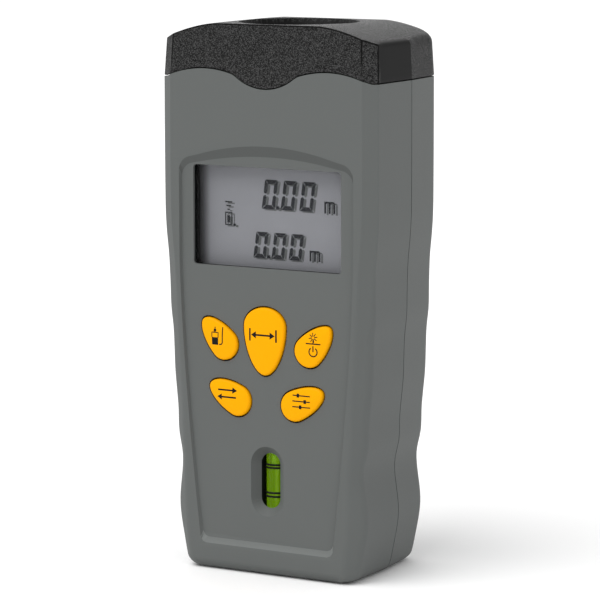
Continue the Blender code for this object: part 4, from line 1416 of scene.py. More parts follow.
@dataclass
class Cap:
    """Black domed cap over the top of the case, with the mouth of the horn.

    Attributes:
        top: Height of its crown.
        overhang: How far its lower edge stands out over the case.
        draft: How far its sides draw in for each 10 mm.
        flat: Half width of its level middle.
        reach: Width of each falling side.
        fall: Drop of the falling sides.
        mouth: Radius of the horn at the crown.
        throat: Radius of the horn at its foot.
        throat_height: Height of that foot.
        split: Height at which the separate funnel takes over.
        axis: Depth of the horn's axis.
        wall: Wall of the cap.
        laser: Place of the laser's exit, across and in depth.
        half: Half width over the sides, at the shoulder.
        face: Half width of the flat front, at the shoulder.
        lean: How far the front leans back in 10 mm.
        lip: Rows of the lower edge, as how far above the seam and how far inside the side.
        runs: Faces in each straight run of the outline.
    """

    top: float = 144.7 * MM
    overhang: float = 0.05 * MM
    draft: float = 0.55 * MM
    flat: float = 15.0 * MM
    reach: float = 16.5 * MM
    fall: float = 4.3 * MM
    mouth: float = 15.8 * MM
    throat: float = 7.6 * MM
    throat_height: float = 120.8 * MM
    split: float = 138.2 * MM
    axis: float = 18.0 * MM
    wall: float = 2.0 * MM
    laser: Point2 = (-23.5 * MM, 20.0 * MM)
    half: float = 32.2 * MM
    face: float = 28.7 * MM
    lean: float = 0.65 * MM
    lip: tuple[Point2, ...] = ((0.25, 0.3), (0.0, 0.22), (0.06, 0.06), (0.22, 0.0))
    runs: tuple[int, ...] = (90, 14, 20, 16, 30)

    def flare(self) -> float:
        """Growth rate of the exponential horn."""
        return math.log(self.mouth / self.throat) / (self.top - self.throat_height)

    def horn(self, height: float) -> float:
        """Inner radius of the horn at a height."""
        return self.throat * math.exp(self.flare() * (height - self.throat_height))

    def dome(self, across: float, depth: float) -> float:
        """Height of the dome over a place."""
        beyond = max(abs(across) - self.flat, 0.0) / self.reach
        sag = 0.1 * MM * abs((depth - self.axis) / (17.5 * MM)) ** 4
        return self.top - self.fall * beyond ** 1.6 - min(sag, 0.15 * MM)

    def drawn_in(self, height: float, inset: float = 0.0) -> tuple[float, float]:
        """How far the sides and the front are drawn in at a height."""
        rise = (height - SHOULDER) / (10.0 * MM)
        inset += self.draft * rise - self.overhang
        return inset, -self.overhang + (self.overhang + self.lean) * max(rise, 0.0)

    def outline(self, case: Case, height: float, inset: float = 0.0) -> list[Point2]:
        """Closed plan outline of the cap at a height."""
        inset, front = self.drawn_in(height, inset)
        back = max(inset, 0.0) if inset > self.wall / 2 else 0.0
        right = case.plan(self.half - inset, self.face - 0.8 * inset, front + back, inset,
                          0.45 * MM, 6, self.runs, 4.0 * MM)[1:-1]
        return mirrored(right)

    def edge_radius(self, across: float, depth: float) -> float:
        """Radius of the cap's top edge, crisp in front and softer round the back."""
        soft = smoothstep(depth, 3.0 * MM, 6.0 * MM)
        rear = smoothstep(depth, PART_LINE - 1.0 * MM, PART_LINE + 5.0 * MM)
        return (0.3 + 0.6 * soft + 1.1 * rear) * MM

    def rows(self, case: Case) -> list[list[Point3]]:
        """Rows of points from the lower edge over the dome, down the horn and back inside."""
        low = self.outline(case, SHOULDER)
        seams = [SEAM.height(x) + GAP if depth < PART_LINE else SHOULDER + GAP
                 for x, depth in low]
        guide = self.outline(case, 141.0 * MM)
        tops = [self.dome(*point) for point in guide]
        radii = [self.edge_radius(*point) for point in guide]

        def around(heights: Sequence[float], inset: float = 0.0) -> list:
            """Row on the cap's side at a height for each place."""
            foot, span = 127.0 * MM, 18.0 * MM
            below = self.outline(case, foot, inset)
            above = self.outline(case, foot + span, inset)
            row = []
            for index, height in enumerate(heights):
                share = (height - foot) / span
                spot = Vector(below[index]).lerp(Vector(above[index]), share)
                row.append((spot.x, spot.y, height))
            return row

        rows = [around([z + rise * MM for z in seams], inset * MM) for rise, inset in self.lip]
        sides = [top - radius for top, radius in zip(tops, radii)]
        foot = self.lip[-1][0] * MM
        for step in range(1, 10):
            rows.append(around([seam + foot + (side - seam - foot) * step / 10
                                for seam, side in zip(seams, sides)]))
        rows.append(around([side - 0.12 * MM for side in sides]))
        start_row = around(sides)
        rows.append(start_row)
        edge = around(tops)
        directions = [Vector((x, depth - self.axis)).normalized() for x, depth, _ in edge]
        inner = []
        for corner, outward, radius in zip(edge, directions, radii):
            spot = Vector(corner[:2]) - outward * radius
            inner.append((spot.x, spot.y, self.dome(spot.x, spot.y)))
        for step in range(1, 5):
            share = step / 5
            rows.append([tuple(Vector(side) * (1 - share) ** 2
                               + Vector(corner) * 2 * share * (1 - share)
                               + Vector(end) * share ** 2)
                         for side, corner, end in zip(start_row, edge, inner)])
        rows.append(inner)
        rim = 0.35 * MM
        for step in range(1, 12):
            share = step / 12
            row = []
            for start, outward in zip(inner, directions):
                goal = outward * (self.mouth + rim)
                x = start[0] + (goal.x - start[0]) * share
                depth = start[1] + (goal.y + self.axis - start[1]) * share
                row.append((x, depth, self.dome(x, depth)))
            rows.append(row)
        for step in range(5):
            angle = math.pi / 2 * step / 4
            radius = self.mouth + rim * (1 - math.sin(angle))
            row = []
            for outward in directions:
                x = outward.x * radius
                depth = outward.y * radius + self.axis
                crest = self.dome(x, depth)
                row.append((x, depth, crest - rim * (1 - math.cos(angle))))
            rows.append(row)
        underside = self.split + GAP

        def hoop(radius: float, height: float) -> list:
            """Row round the horn's axis."""
            return [(outward.x * radius, outward.y * radius + self.axis, height)
                    for outward in directions]

        for height in (143.4, 142.4, 141.4, 140.4, 139.4):
            rows.append(hoop(self.horn(height * MM), height * MM))
        rows.append(hoop(self.horn(underside), underside))
        ring = 17.0 * MM
        rows.append(hoop(ring, underside))
        rows.append(hoop(ring, self.top - self.wall - 1.0 * MM))
        lid = around([top - self.wall for top in tops], self.wall)
        for share in (0.35, 0.7, 1.0):
            row = []
            for outward, end in zip(directions, lid):
                start = Vector((outward.x * ring, outward.y * ring + self.axis))
                spot = start.lerp(Vector(end[:2]), share)
                row.append((spot.x, spot.y, self.dome(spot.x, spot.y) - self.wall))
            rows.append(row)
        rows.append(around([z + 0.3 * MM for z in seams], self.wall))
        return [[(x, world_y(depth), z) for x, depth, z in row] for row in rows]

    def creased(self, across: float, depth: float, height: float) -> bool:
        """Whether a place lies on one of the thin painted shade lines round the front of the cap.
        """
        inset, front = self.drawn_in(height)
        face = self.face - 0.8 * inset
        side = self.half - inset
        start = front + Case.chamfer - 0.2 * inset
        across = abs(across)
        upright = min(math.dist((across, depth), (face, front)),
                      math.dist((across, depth), (side, start))) < 0.19 * MM
        slope = (start - front) / (side - face)
        plane = front + max(across - face, 0.0) * slope
        below = self.dome(across, depth) - height
        along = abs(below - 0.17 * MM) < 0.17 * MM and depth - plane < 0.28 * MM
        return upright or along

    def mark(self, mesh: bpy.types.Mesh) -> None:
        """Mark where the cap has its grain with the painted highlights on its pebbles, and its
        painted shade lines along the creases.
        """
        pebble = mesh.attributes.new("pebble", "FLOAT", "POINT")
        crease = mesh.attributes.new("crease", "FLOAT", "POINT")
        for index, vertex in enumerate(mesh.vertices):
            across, along, height = vertex.co
            depth = along + CASE_DEPTH / 2
            flank = abs(across) > 30.3 * MM and 3.2 * MM < depth < PART_LINE
            horn = math.dist((across, depth), (0.0, self.axis)) < self.mouth
            crest = self.dome(across, depth) - height < 0.02 * MM
            # No grain and no painted highlight on the flat flanks and in the horn; twice as much
            # on the top of the dome.
            pebble.data[index].value = 0.0 if flank or horn else 2.0 if crest else 1.0
            # Thin lines of painted shade round the front of the cap.
            crease.data[index].value = float(self.creased(across, depth, height))

    def build(self, case: Case) -> None:
        """Make the cap, then the horn's funnel below it."""
        rows = self.rows(case)
        cap = loft("cap", rows + [rows[0]], caps=False)
        with edited(cap.data) as shape:
            bmesh.ops.remove_doubles(shape, verts=shape.verts, dist=CLOSE)
            bmesh.ops.recalc_face_normals(shape, faces=shape.faces)
        across, depth = self.laser
        bore = [(0.0, 150.0 * MM), (3.4 * MM, 150.0 * MM), (2.9 * MM, 143.9 * MM),
                (2.2 * MM, 143.2 * MM), (2.2 * MM, 139.0 * MM), (0.0, 139.0 * MM)]
        boolean(cap, turned("cutter", bore, (across, world_y(depth), 0.0), 40))
        self.mark(cap.data)
        soften(cap, 0.0)
        place(cap, "case", "cap_plastic", Looks.CAP, "top_cap")
        funnel = self.funnel()
        place(funnel, "case", "cap_plastic", None, "horn_funnel")

    def funnel(self) -> Piece:
        """Exponential horn wall with its skirt, grown by rule round the axis."""
        grower = Grower("horn_flare", {"Throat": self.throat, "Flare": self.flare(),
                                       "Foot": self.throat_height, "Rise": self.split
                                       - self.throat_height, "Wall": 1.2 * MM,
                                       "Skirt": 11.7 * MM, "Drop": 8.8 * MM}, Looks.INNER)
        graph = grower.graph
        grid = graph.add("GeometryNodeMeshGrid", None,
                         {"Size X": 1.0, "Size Y": 1.0, "Vertices X": 73, "Vertices Y": 33})
        spot = graph.add("GeometryNodeInputPosition")
        angle = (spot.part(0) + 0.5) * math.tau
        level = spot.part(1) + 0.5
        outer = level.step(0.49, 0.51)
        share = abs(abs(level - 0.5) * 2.0 - 1.0)
        height = grower.size("Foot") + grower.size("Rise") * share
        growth = graph.add("ShaderNodeMath", {"operation": "EXPONENT"},
                           {0: grower.size("Flare") * grower.size("Rise") * share})
        radius = grower.size("Throat") * growth + grower.size("Wall") * outer
        tube = grower.move(grid, radius * angle.turn(), radius * angle.wave()
                           + world_y(self.axis), height)
        skirt = graph.add("GeometryNodeMeshGrid", None,
                          {"Size X": 1.0, "Size Y": 1.0, "Vertices X": 73, "Vertices Y": 5})
        corner = (spot.part(1) + 0.5) * 4.0
        lower = corner.step(0.9, 1.1) * (1.0 - corner.step(2.9, 3.1))
        inner = corner.step(1.9, 2.1) * (1.0 - corner.step(3.9, 4.1))
        wide = grower.size("Skirt") - grower.size("Wall") * inner
        deep = grower.size("Foot") - grower.size("Drop") * lower
        apron = grower.move(skirt, wide * angle.turn(), wide * angle.wave()
                            + world_y(self.axis), deep)
        merged = graph.add("GeometryNodeMergeByDistance", None,
                           {"Geometry": grower.joined(tube, apron), "Distance": 0.01 * MM})
        piece = grower.finish(merged)
        with edited(piece.data) as shape:
            bmesh.ops.recalc_face_normals(shape, faces=shape.faces)
        soften(piece, 0.0)
        return piece


# ---- display and level


@dataclass
class Display:
    """Clear window and the liquid crystal display behind it.

    Attributes:
        lit: Which of the seven segments each digit lights.
        stroke: Thickness of a segment.
        slant: Lean of the digits.
        plane: Depth of the segments.
        shift: How far to the side and down the painted shadow copy on the reflector is seen.
    """

    lit: str = "abcdef"
    stroke: float = 1.1
    slant: float = 0.14
    plane: float = 5.02 * MM
    shift: Point2 = (0.75, -0.35)

    def segment(self, shape: Shape, corners: Sequence[Point2],
                depth: float) -> None:
        """Thin solid with an outline given in millimetres."""
        near = [shape.verts.new((x * MM, world_y(depth), z * MM)) for x, z in corners]
        far = [shape.verts.new((x * MM, world_y(depth + 0.05 * MM), z * MM))
               for x, z in corners]
        shape.faces.new(near)
        shape.faces.new(far)
        for index in range(len(near)):
            following = (index + 1) % len(near)
            shape.faces.new((near[index], near[following], far[following], far[index]))

    def digit(self, shape: Shape, left: float, low: float, wide: float,
              tall: float, depth: float) -> None:
        """One seven-segment digit that shows a nought."""
        thick = self.stroke
        half = thick / 2
        gap = 0.12
        middle = tall / 2
        bars = {
            "a": [(gap, tall), (wide - gap, tall), (wide - thick, tall - thick),
                  (thick, tall - thick)],
            "d": [(gap, 0.0), (wide - gap, 0.0), (wide - thick, thick), (thick, thick)],
            "f": [(0.0, tall - gap), (thick - gap, tall - thick - gap),
                  (thick - gap, middle + half), (half, middle + gap), (0.0, middle + half)],
            "e": [(0.0, gap), (thick - gap, thick + gap), (thick - gap, middle - half),
                  (half, middle - gap), (0.0, middle - half)],
        }
        bars["b"] = [(wide - x, z) for x, z in bars["f"]]
        bars["c"] = [(wide - x, z) for x, z in bars["e"]]
        for name in self.lit:
            self.segment(shape, [(left + x + self.slant * z, low + z) for x, z in bars[name]],
                         depth)

    def metre(self, shape: Shape, left: float, low: float, tall: float,
              depth: float) -> None:
        """Small m for the unit."""
        wide, thick = 3.2, 0.5
        reach = (wide - thick) / 2
        for step in range(3):
            x = left + step * reach
            self.segment(shape, [(x, low), (x + thick, low), (x + thick, low + tall - 0.6),
                                 (x, low + tall - 0.6)], depth)
        for step in range(2):
            x = left + step * reach + thick
            top = low + tall
            self.segment(shape, [(x - thick, top - 0.6), (x, top - 0.6), (x + 0.25, top - 0.42),
                                 (x + reach - thick, top - 0.42), (x + reach - 0.05, top - 0.6),
                                 (x + reach - 0.1, top - 0.3), (x + reach - 0.45, top),
                                 (x - thick, top)], depth)

    def reading(self, name: str, depth: float, shift: Point2) -> Piece:
        """Both rows of the reading with their units and the small state sign."""
        shape = bmesh.new()
        rows = (((-3.9, 1.8, 7.4), 96.4, 7.7, 3.9, (14.9, 96.2)),
                ((-6.5, -1.0, 4.2), 83.4, 6.9, 3.7, (10.5, 83.5)))
        for lefts, low, tall, wide, unit in rows:
            for left in lefts:
                self.digit(shape, left + shift[0], low + shift[1], wide, tall, depth)
            dot = lefts[0] + wide + 0.45 + shift[0]
            base = low + shift[1]
            self.segment(shape, [(dot, base), (dot + 0.9, base), (dot + 0.98, base + 0.9),
                                 (dot + 0.08, base + 0.9)], depth)
            self.metre(shape, unit[0] + shift[0], unit[1] + shift[1], 0.4 * tall, depth)
        x, z = -15.1 + shift[0], 91.5 + shift[1]
        for left, low, wide, tall in ((0.0, 0.0, 2.2, 0.3), (0.0, 3.2, 2.2, 0.3),
                                      (0.0, 0.3, 0.3, 2.9), (1.9, 0.3, 0.3, 2.9),
                                      (0.65, 0.7, 0.9, 1.9), (0.75, 4.0, 0.7, 0.35),
                                      (0.35, 5.0, 1.5, 0.35), (0.0, 6.0, 2.2, 0.35),
                                      (2.5, -0.1, 0.8, 0.6)):
            corners = [(left, low), (left + wide, low), (left + wide, low + tall),
                       (left, low + tall)]
            self.segment(shape, [(x + u, z + v) for u, v in corners], depth)
        return from_bmesh(name, shape)

    def build(self) -> None:
        """Make the window, the frame and the reading that the film shows, with its painted
        shadow.
        """
        low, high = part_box("display_window")
        window = block("window", low, high)
        soften(window, 0.12 * MM)
        place(window, "case", "window_acrylic", Looks.WINDOW, "display_window")
        place(self.reading("reading", self.plane, (0.0, 0.0)), "case", "display_glass",
              Looks.SEGMENT)
        # Painted shadow of the segments: a lighter offset copy on the reflector.
        place(self.reading("reading_shadow", self.plane + 0.04 * MM, self.shift), "case",
              "display_glass", Looks.SHADOW)
        frame = chest((-25.0, 3.1, 77.0), (25.0, 9.3, 110.5))
        boolean(frame, slab(Case.frame_outline(22.6, 80.95, 107.95, 0.8), 2.0 * MM, 6.0 * MM))
        boolean(frame, chest((-24.2, 4.8, 78.4), (24.2, 12.0, 109.5)))
        soften(frame, 0.15 * MM)
        frame.name = "display_frame"
        place(frame, "case", "black_plastic", Looks.INNER, "lcd_frame")


@dataclass
class Level:
    """Spirit vial behind the slot.

    Attributes:
        depth: Depth of its axis.
        radius: Outer radius of the tube.
        bore: Inner radius.
        low: Height of its closed foot.
        high: Height of its mouth.
        lines: Heights of the black lines.
    """

    depth: float = 5.9 * MM
    radius: float = 2.95 * MM
    bore: float = 2.80 * MM
    low: float = 15.0 * MM
    high: float = 34.6 * MM
    lines: tuple[float, ...] = (20.6, 21.6, 28.3, 29.1)

    def tube(self) -> Piece:
        """Clear tube with a domed foot and a rounded mouth."""
        lip = 0.25 * MM
        profile = [(0.0, 16.2 * MM), (self.bore - lip, 16.2 * MM), (self.bore, 16.45 * MM),
                   (self.bore, self.high), (self.radius, self.high),
                   (self.radius, self.low + 0.9 * MM), (self.radius - lip, self.low + 0.35 * MM),
                   (self.radius - 1.0 * MM, self.low), (0.0, self.low)]
        tube = turned("vial_tube", profile, (0.0, world_y(self.depth), 0.0), 64)
        soften(tube, 0.0)
        return tube

    def spirit(self) -> Piece:
        """Filling, hollowed by the track of the bubble."""
        radius = self.bore - 0.05 * MM
        profile = [(0.0, 16.5 * MM), (radius - 0.3 * MM, 16.5 * MM), (radius, 16.8 * MM),
                   (radius, 32.1 * MM), (radius - 0.3 * MM, 32.4 * MM), (0.0, 32.4 * MM)]
        filling = turned("vial_spirit", profile, (0.0, world_y(self.depth), 0.0), 48)
        track = [(0.0, 17.0 * MM), (0.9 * MM, 17.2 * MM), (1.3 * MM, 18.0 * MM),
                 (1.3 * MM, 40.0 * MM), (0.0, 40.0 * MM)]
        for depth in (3.9 * MM, 5.0 * MM):
            boolean(filling, turned("cutter", track, (0.0, world_y(depth), 0.0), 32))
        soften(filling, 0.0)
        return filling

    def bubble(self) -> Piece:
        """Long rounded air bubble."""
        low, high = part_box("level_bubble")
        radius = (high.x - low.x) / 2
        steps = 8
        angles = [math.pi / 2 * step / steps for step in range(1, steps)]
        profile = [(0.0, low.z)]
        profile += [(radius * math.sin(angle), low.z + radius * (1 - math.cos(angle)))
                    for angle in angles]
        profile += [(radius, low.z + radius), (radius, high.z - radius)]
        profile += [(radius * math.cos(angle), high.z - radius * (1 - math.sin(angle)))
                    for angle in angles]
        profile.append((0.0, high.z))
        bubble = turned("bubble_air", profile, (0.0, (low.y + high.y) / 2, 0.0), 32)
        soften(bubble, 0.0)
        return bubble

    def rings(self) -> Piece:
        """Pairs of printed lines round the tube, repeated along it."""
        grower = Grower("vial_lines", {"Radius": self.radius + 0.02 * MM, "Band": 0.52 * MM},
                        Looks.INK)
        graph = grower.graph
        circle = graph.add("GeometryNodeCurvePrimitiveCircle", {"mode": "RADIUS"},
                           {"Resolution": 64, "Radius": grower.size("Radius")})
        section = graph.add("GeometryNodeCurvePrimitiveQuadrilateral", {"mode": "RECTANGLE"},
                            {"Width": 0.06 * MM, "Height": grower.size("Band")})
        band = graph.add("GeometryNodeCurveToMesh", None,
                         {"Curve": circle, "Profile Curve": section})
        spots = grower.spots((0.0, world_y(self.depth), line * MM) for line in self.lines)
        return grower.finish(grower.copies(spots, band))

    def build(self) -> None:
        """Make the vial with its filling, printed lines and bubble."""
        place(self.tube(), "case", "vial_acrylic", Looks.VIAL, "level_vial")
        place(self.spirit(), "case", "spirit", Looks.SPIRIT, "level_fluid")
        place(self.rings(), "case", "vial_acrylic", None)
        place(self.bubble(), "bubble", "bubble", Looks.BUBBLE, "level_bubble")


# ---- back and inside


@dataclass
class Door:
    """Battery door with gripping ribs and a finger notch, on two tabs.

    Attributes:
        half: Half width.
        low: Height of its lower edge.
        high: Height of its upper edge.
        thickness: Thickness of the panel; not used.
        ribs: Number of gripping ribs.
        pitch: Distance between them.
    """

    half: float = 17.0
    low: float = 4.0
    high: float = 63.0
    thickness: float = 2.0
    ribs: int = 9
    pitch: float = 1.9 * MM

    def panel(self) -> Piece:
        """Door panel with rounded corners, a dished grip and its tabs."""
        outline = Case.frame_outline(self.half, self.low, self.high, 1.2)
        panel = slab(outline, 37.0 * MM, CASE_DEPTH)
        grip = Case.frame_outline(10.5, 41.0, 60.0, 3.0)
        inner = Case.frame_outline(9.6, 41.9, 59.1, 2.4)
        dish = loft("cutter", [at_depth(inner, 38.35 * MM), at_depth(grip, CASE_DEPTH),
                               at_depth(grip, 41.0 * MM)])
        boolean(panel, dish)
        for tab in DOOR_TABS:
            boolean(panel, chest((tab - 1.25, 35.6, 2.8), (tab + 1.25, 37.2, 5.5)), "UNION")
        soften(panel, 0.25 * MM)
        panel.name = "door_panel"
        return panel

    def grip(self) -> Piece:
        """Row of raised ribs in the dish, repeated up the door."""
        grower = Grower("door_ribs", {"Pitch": self.pitch, "Width": 15.0 * MM,
                                      "Radius": 0.5 * MM}, Looks.CASE)
        graph = grower.graph
        step = graph.add("ShaderNodeCombineXYZ", None, {2: grower.size("Pitch")})
        start = (0.0, world_y(38.3 * MM), 42.9 * MM)
        line = graph.add("GeometryNodeMeshLine", {"mode": "OFFSET"},
                         {"Count": self.ribs, "Start Location": start, "Offset": step})
        rod = graph.add("GeometryNodeMeshCylinder", {"fill_type": "NGON"},
                        {"Vertices": 16, "Radius": grower.size("Radius"),
                         "Depth": grower.size("Width")}, output="Mesh")
        laid = graph.add("GeometryNodeTransform", None,
                         {"Geometry": rod, "Rotation": (0.0, math.pi / 2, 0.0)})
        ribs = grower.finish(grower.copies(line, laid))
        soften(ribs, 0.15 * MM)
        return ribs

    def build(self) -> None:
        """Make the door and its ribs."""
        place(self.panel(), "door", "case_plastic", Looks.CASE, "battery_door")
        place(self.grip(), "door", "case_plastic", None)


@dataclass
class Screws:
    """Case and board screws with cross recesses.

    Attributes:
        name: Name of the finished piece.
        spots: Places of the screws as (across, height) in millimetres.
        head: Radius and height of the head.
        seat: Depth of the underside of the head.
        shank: Radius of the thread.
        end: Depth of the point.
        nodes: CAD nodes that they stand for.
    """

    name: str
    spots: tuple[Point2, ...]
    head: Point2
    seat: float
    shank: float
    end: float
    nodes: str

    def one(self) -> Piece:
        """Screw on the depth axis, with a domed head and a cross recess."""
        radius, rise = self.head
        top = self.seat + rise
        profile = [(0.0, self.end), (0.6 * self.shank, self.end), (self.shank, self.end + 0.9),
                   (self.shank, self.seat), (radius, self.seat), (radius, top - 0.45 * rise),
                   (0.86 * radius, top - 0.12 * rise), (0.5 * radius, top), (0.0, top)]
        screw = turned("screw", [(across * MM, depth * MM) for across, depth in profile],
                       (0.0, world_y(0.0), 0.0), 20, "Y")
        arm, wide = 0.62 * radius, 0.16 * radius
        cross = [chest((-arm, top - 0.6 * rise, -wide), (arm, top + 1, wide)),
                 chest((-wide, top - 0.6 * rise, -arm), (wide, top + 1, arm))]
        for bar in cross:
            boolean(screw, bar)
        soften(screw, 0.0)
        return screw

    def build(self) -> None:
        """Copy the screw to every place and turn the copies into one mesh."""
        pattern = self.one()
        grower = Grower(self.name, {"Scale": 1.0}, Looks.STEEL)
        graph = grower.graph
        shape = graph.add("GeometryNodeObjectInfo", None, {"Object": pattern},
                          output="Geometry")
        scale = graph.add("ShaderNodeCombineXYZ", None,
                          {axis: grower.size("Scale") for axis in range(3)})
        spots = grower.spots((x * MM, 0.0, z * MM) for x, z in self.spots)
        screws = grower.finish(grower.copies(spots, shape, scale=scale))
        bpy.data.objects.remove(pattern, do_unlink=True)
        names = [self.nodes % (index + 1) for index in range(len(self.spots))]
        place(screws, "case", "steel", None, *names)


@dataclass
class Inside:
    """Finishes of the parts that the case hides, and the woven grille of the transducer.

    Attributes:
        looks: Finish of each carried-over node.
        wires: Wires across the grille, each way.
    """

    wires: int = 29
    looks: dict[str, Looks] = field(default_factory=lambda: {
        "transducer_can": Looks.CAN, "transducer_seat": Looks.RUBBER,
        "transducer_base": Looks.INNER, "laser_housing": Looks.BRASS,
        "laser_diode": Looks.CAN, "laser_lens": Looks.LENS, "laser_holder": Looks.INNER,
        "laser_window": Looks.LENS, "lcd_front_glass": Looks.FILM,
        "lcd_rear_glass": Looks.CELL, "lcd_reflector": Looks.WHITE,
        "zebra_strip": Looks.RUBBER, "main_board": Looks.BOARD, "chip_blob": Looks.RUBBER,
        "drive_transformer": Looks.INNER, "buzzer": Looks.INNER, "crystal": Looks.CAN,
        "capacitor_1": Looks.CAN, "capacitor_2": Looks.CAN, "keypad_mat": Looks.RUBBER,
        "vial_plug": Looks.WHITE, "vial_holder": Looks.INNER,
        "battery_terminal_plus": Looks.STEEL, "battery_terminal_minus": Looks.STEEL,
        "battery_snap": Looks.RUBBER, "battery_lead_red": Looks.RED,
        "battery_lead_black": Looks.RUBBER, "transducer_lead_1": Looks.WHITE,
        "transducer_lead_2": Looks.RED, "laser_lead": Looks.WHITE})

    def grille(self) -> Piece:
        """Woven wire disc in the mouth of the transducer's can."""
        low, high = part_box("transducer_mesh")
        radius = (high.x - low.x) / 2
        grower = Grower("transducer_grille", {"Radius": radius, "Wire": 0.1 * MM,
                                              "Height": high.z - 0.25 * MM}, Looks.STEEL)
        graph = grower.graph
        line = graph.add("GeometryNodeMeshLine", {"mode": "END_POINTS"},
                         {"Count": self.wires, "Start Location": (-0.94 * radius, 0.0, 0.0),
                          "Offset": (0.94 * radius, 0.0, 0.0)})
        share = graph.add("GeometryNodeInputPosition").part(0) / grower.size("Radius")
        chord = (1.0 - share * share) ** 0.5
        length = graph.add("ShaderNodeCombineXYZ", None, {0: 1.0, 1: 1.0, 2: chord})
        wire = graph.add("GeometryNodeMeshCylinder", {"fill_type": "NGON"},
                         {"Vertices": 6, "Radius": grower.size("Wire"),
                          "Depth": grower.size("Radius") * 2.0}, output="Mesh")
        laid = grower.copies(line, wire, scale=length, rotation=(math.pi / 2, 0.0, 0.0))
        sheets = []
        for turn, lift in ((0.0, 0.0), (math.pi / 2, 0.12 * MM)):
            rise = graph.add("ShaderNodeCombineXYZ", None,
                             {1: world_y(18.0 * MM), 2: grower.size("Height") + lift})
            sheets.append(graph.add("GeometryNodeTransform", None,
                                    {"Geometry": laid, "Rotation": (0.0, 0.0, turn),
                                     "Translation": rise}))
        return grower.finish(grower.joined(*sheets))

    def battery(self) -> Piece:
        """Battery with a dark jacket and a copper band."""
        low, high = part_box("battery")
        cell = block("battery_cell", low, high)
        soften(cell, 1.4 * MM, 4)
        dress(cell, Looks.JACKET)
        cell.data.materials.append(Looks.COPPER.value.material())
        foot, head = high.z - 9.5 * MM, high.z - 1.6 * MM
        with edited(cell.data) as cut:
            for height in (foot, head):
                bmesh.ops.bisect_plane(cut, geom=cut.verts[:] + cut.edges[:] + cut.faces[:],
                                       plane_co=(0.0, 0.0, height), plane_no=(0.0, 0.0, 1.0))
            for face in cut.faces:
                face.material_index = int(foot < face.calc_center_median().z < head)
        return cell

    def build(self, nodes: dict[str, Piece]) -> None:
        """Finish the carried-over nodes and make the grille and the battery."""
        for name, look in self.looks.items():
            slots = nodes[name].material_slots
            for slot in slots:
                slot.material = look.value.material()
            LOG.info("%s keeps its shape, finish %s", name, look.value.name)
        place(self.grille(), "case", "steel", None, "transducer_mesh")
        place(self.battery(), "case", "battery_jacket", None, "battery")
        for name in Keys().shapes:
            nodes["pill_" + name].material_slots[0].material = Looks.RUBBER.value.material()


# ---- studio


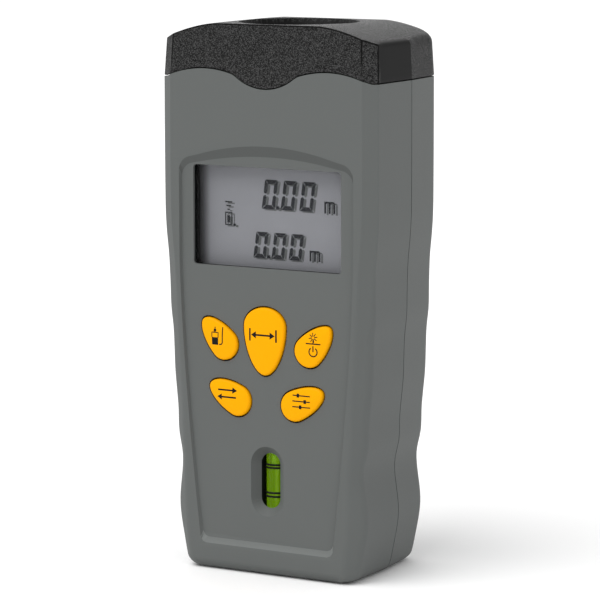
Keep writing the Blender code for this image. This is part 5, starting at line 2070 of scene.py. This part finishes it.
@dataclass
class Studio:
    """Camera, lights and floor.

    Attributes:
        eye: Place of the camera.
        aim: Point that it looks at.
        roll: Turn about its line of sight.
        lens: Focal length in millimetres on a 36 mm sensor.
        sun: Direction towards the main light, its apparent size and its strength.
        lamps: For each soft light its name, place, aim, size and power.
        surround: Brightness of the pale surround.
        reach: Half width of the floor.
        top: Height of the floor, just clear of the base.
    """

    eye: Point3 = (0.422223, -0.727260, 0.191664)
    aim: Point3 = (-0.001113, 0.0005, 0.070656)
    roll: float = math.radians(-0.109)
    lens: float = 192.213
    sun: tuple[Point3, float, float] = ((-0.3, -0.6, 1.0), math.radians(50.0), 1.7)
    lamps: tuple[tuple, ...] = (
        ("fill_light", (0.95, -0.25, 0.45), (0.0, 0.0, 0.07), 0.8, 0.8),
        ("back_light", (-0.6, 0.9, 0.6), (0.0, 0.0, 0.07), 0.9, 1.2),
    )
    surround: float = 0.7
    reach: float = 30.0
    top: float = -0.0002

    def camera(self) -> None:
        """Add the camera."""
        data = bpy.data.cameras.new("camera")
        data.lens = self.lens
        data.sensor_width = 36.0
        data.clip_start = 0.01
        bpy.context.scene.camera = self.hang(data, self.eye, Vector(self.aim) - Vector(self.eye),
                                             self.roll)

    def lights(self) -> None:
        """Add the soft lights and a pale surround."""
        for name, spot, aim, size, power in self.lamps:
            data = bpy.data.lights.new(name, "AREA")
            data.shape = "DISK"
            data.size = size
            data.energy = power
            self.hang(data, spot, Vector(aim) - Vector(spot))
        direction, width, strength = self.sun
        data = bpy.data.lights.new("key_light", "SUN")
        data.angle = width
        data.energy = strength
        self.hang(data, (0.0, 0.0, 0.0), -Vector(direction))
        world = bpy.data.worlds.new("surround")
        world.use_nodes = True
        shader = world.node_tree.nodes["Background"]
        shader.inputs["Color"].default_value = (1, 1, 1, 1)
        shader.inputs["Strength"].default_value = self.surround
        bpy.context.scene.world = world

    @staticmethod
    def hang(data: bpy.types.ID, spot: Point3, direction: Vector,
             roll: float = 0.0) -> Piece:
        """Put a light or the camera at a spot, turned towards a direction."""
        turn = direction.to_track_quat("-Z", "Y").to_matrix() @ Matrix.Rotation(roll, 3, "Z")
        hung = add_object(data.name, data)
        hung.matrix_world = Matrix.Translation(spot) @ turn.to_4x4()
        return hung

    def floor(self) -> None:
        """Add the plain pale floor."""
        floor = block("floor", (-self.reach, -self.reach, -0.01),
                      (self.reach, self.reach, self.top))
        made = bpy.data.materials.new("pale_floor")
        made.use_nodes = True
        shader = made.node_tree.nodes["Principled BSDF"]
        shader.inputs["Base Color"].default_value = (1.0, 1.0, 1.0, 1.0)
        shader.inputs["Roughness"].default_value = 0.9
        floor.data.materials.append(made)

    def build(self) -> None:
        """Set up the studio."""
        bpy.context.scene.view_settings.view_transform = "Standard"
        self.camera()
        self.lights()
        self.floor()


def main() -> None:
    """Build the meter round its frame."""
    logging.basicConfig(level=logging.INFO, format="%(name)s: %(message)s")
    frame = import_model()
    Studio().build()
    case = Case()
    keys = Keys()
    case.build(keys)
    keys.build()
    Cap().build(case)
    Display().build()
    Level().build()
    Door().build()
    Screws("case_screws", CASE_SCREWS, (2.2, 1.9), 26.3, 1.1, 9.5, "case_screw_%d").build()
    Screws("board_screws", BOARD_SCREWS, (1.6, 1.3), 11.1, 0.65, 6.2, "board_screw_%d").build()
    Inside().build(frame["nodes"])


if __name__ == "__main__":
    main()
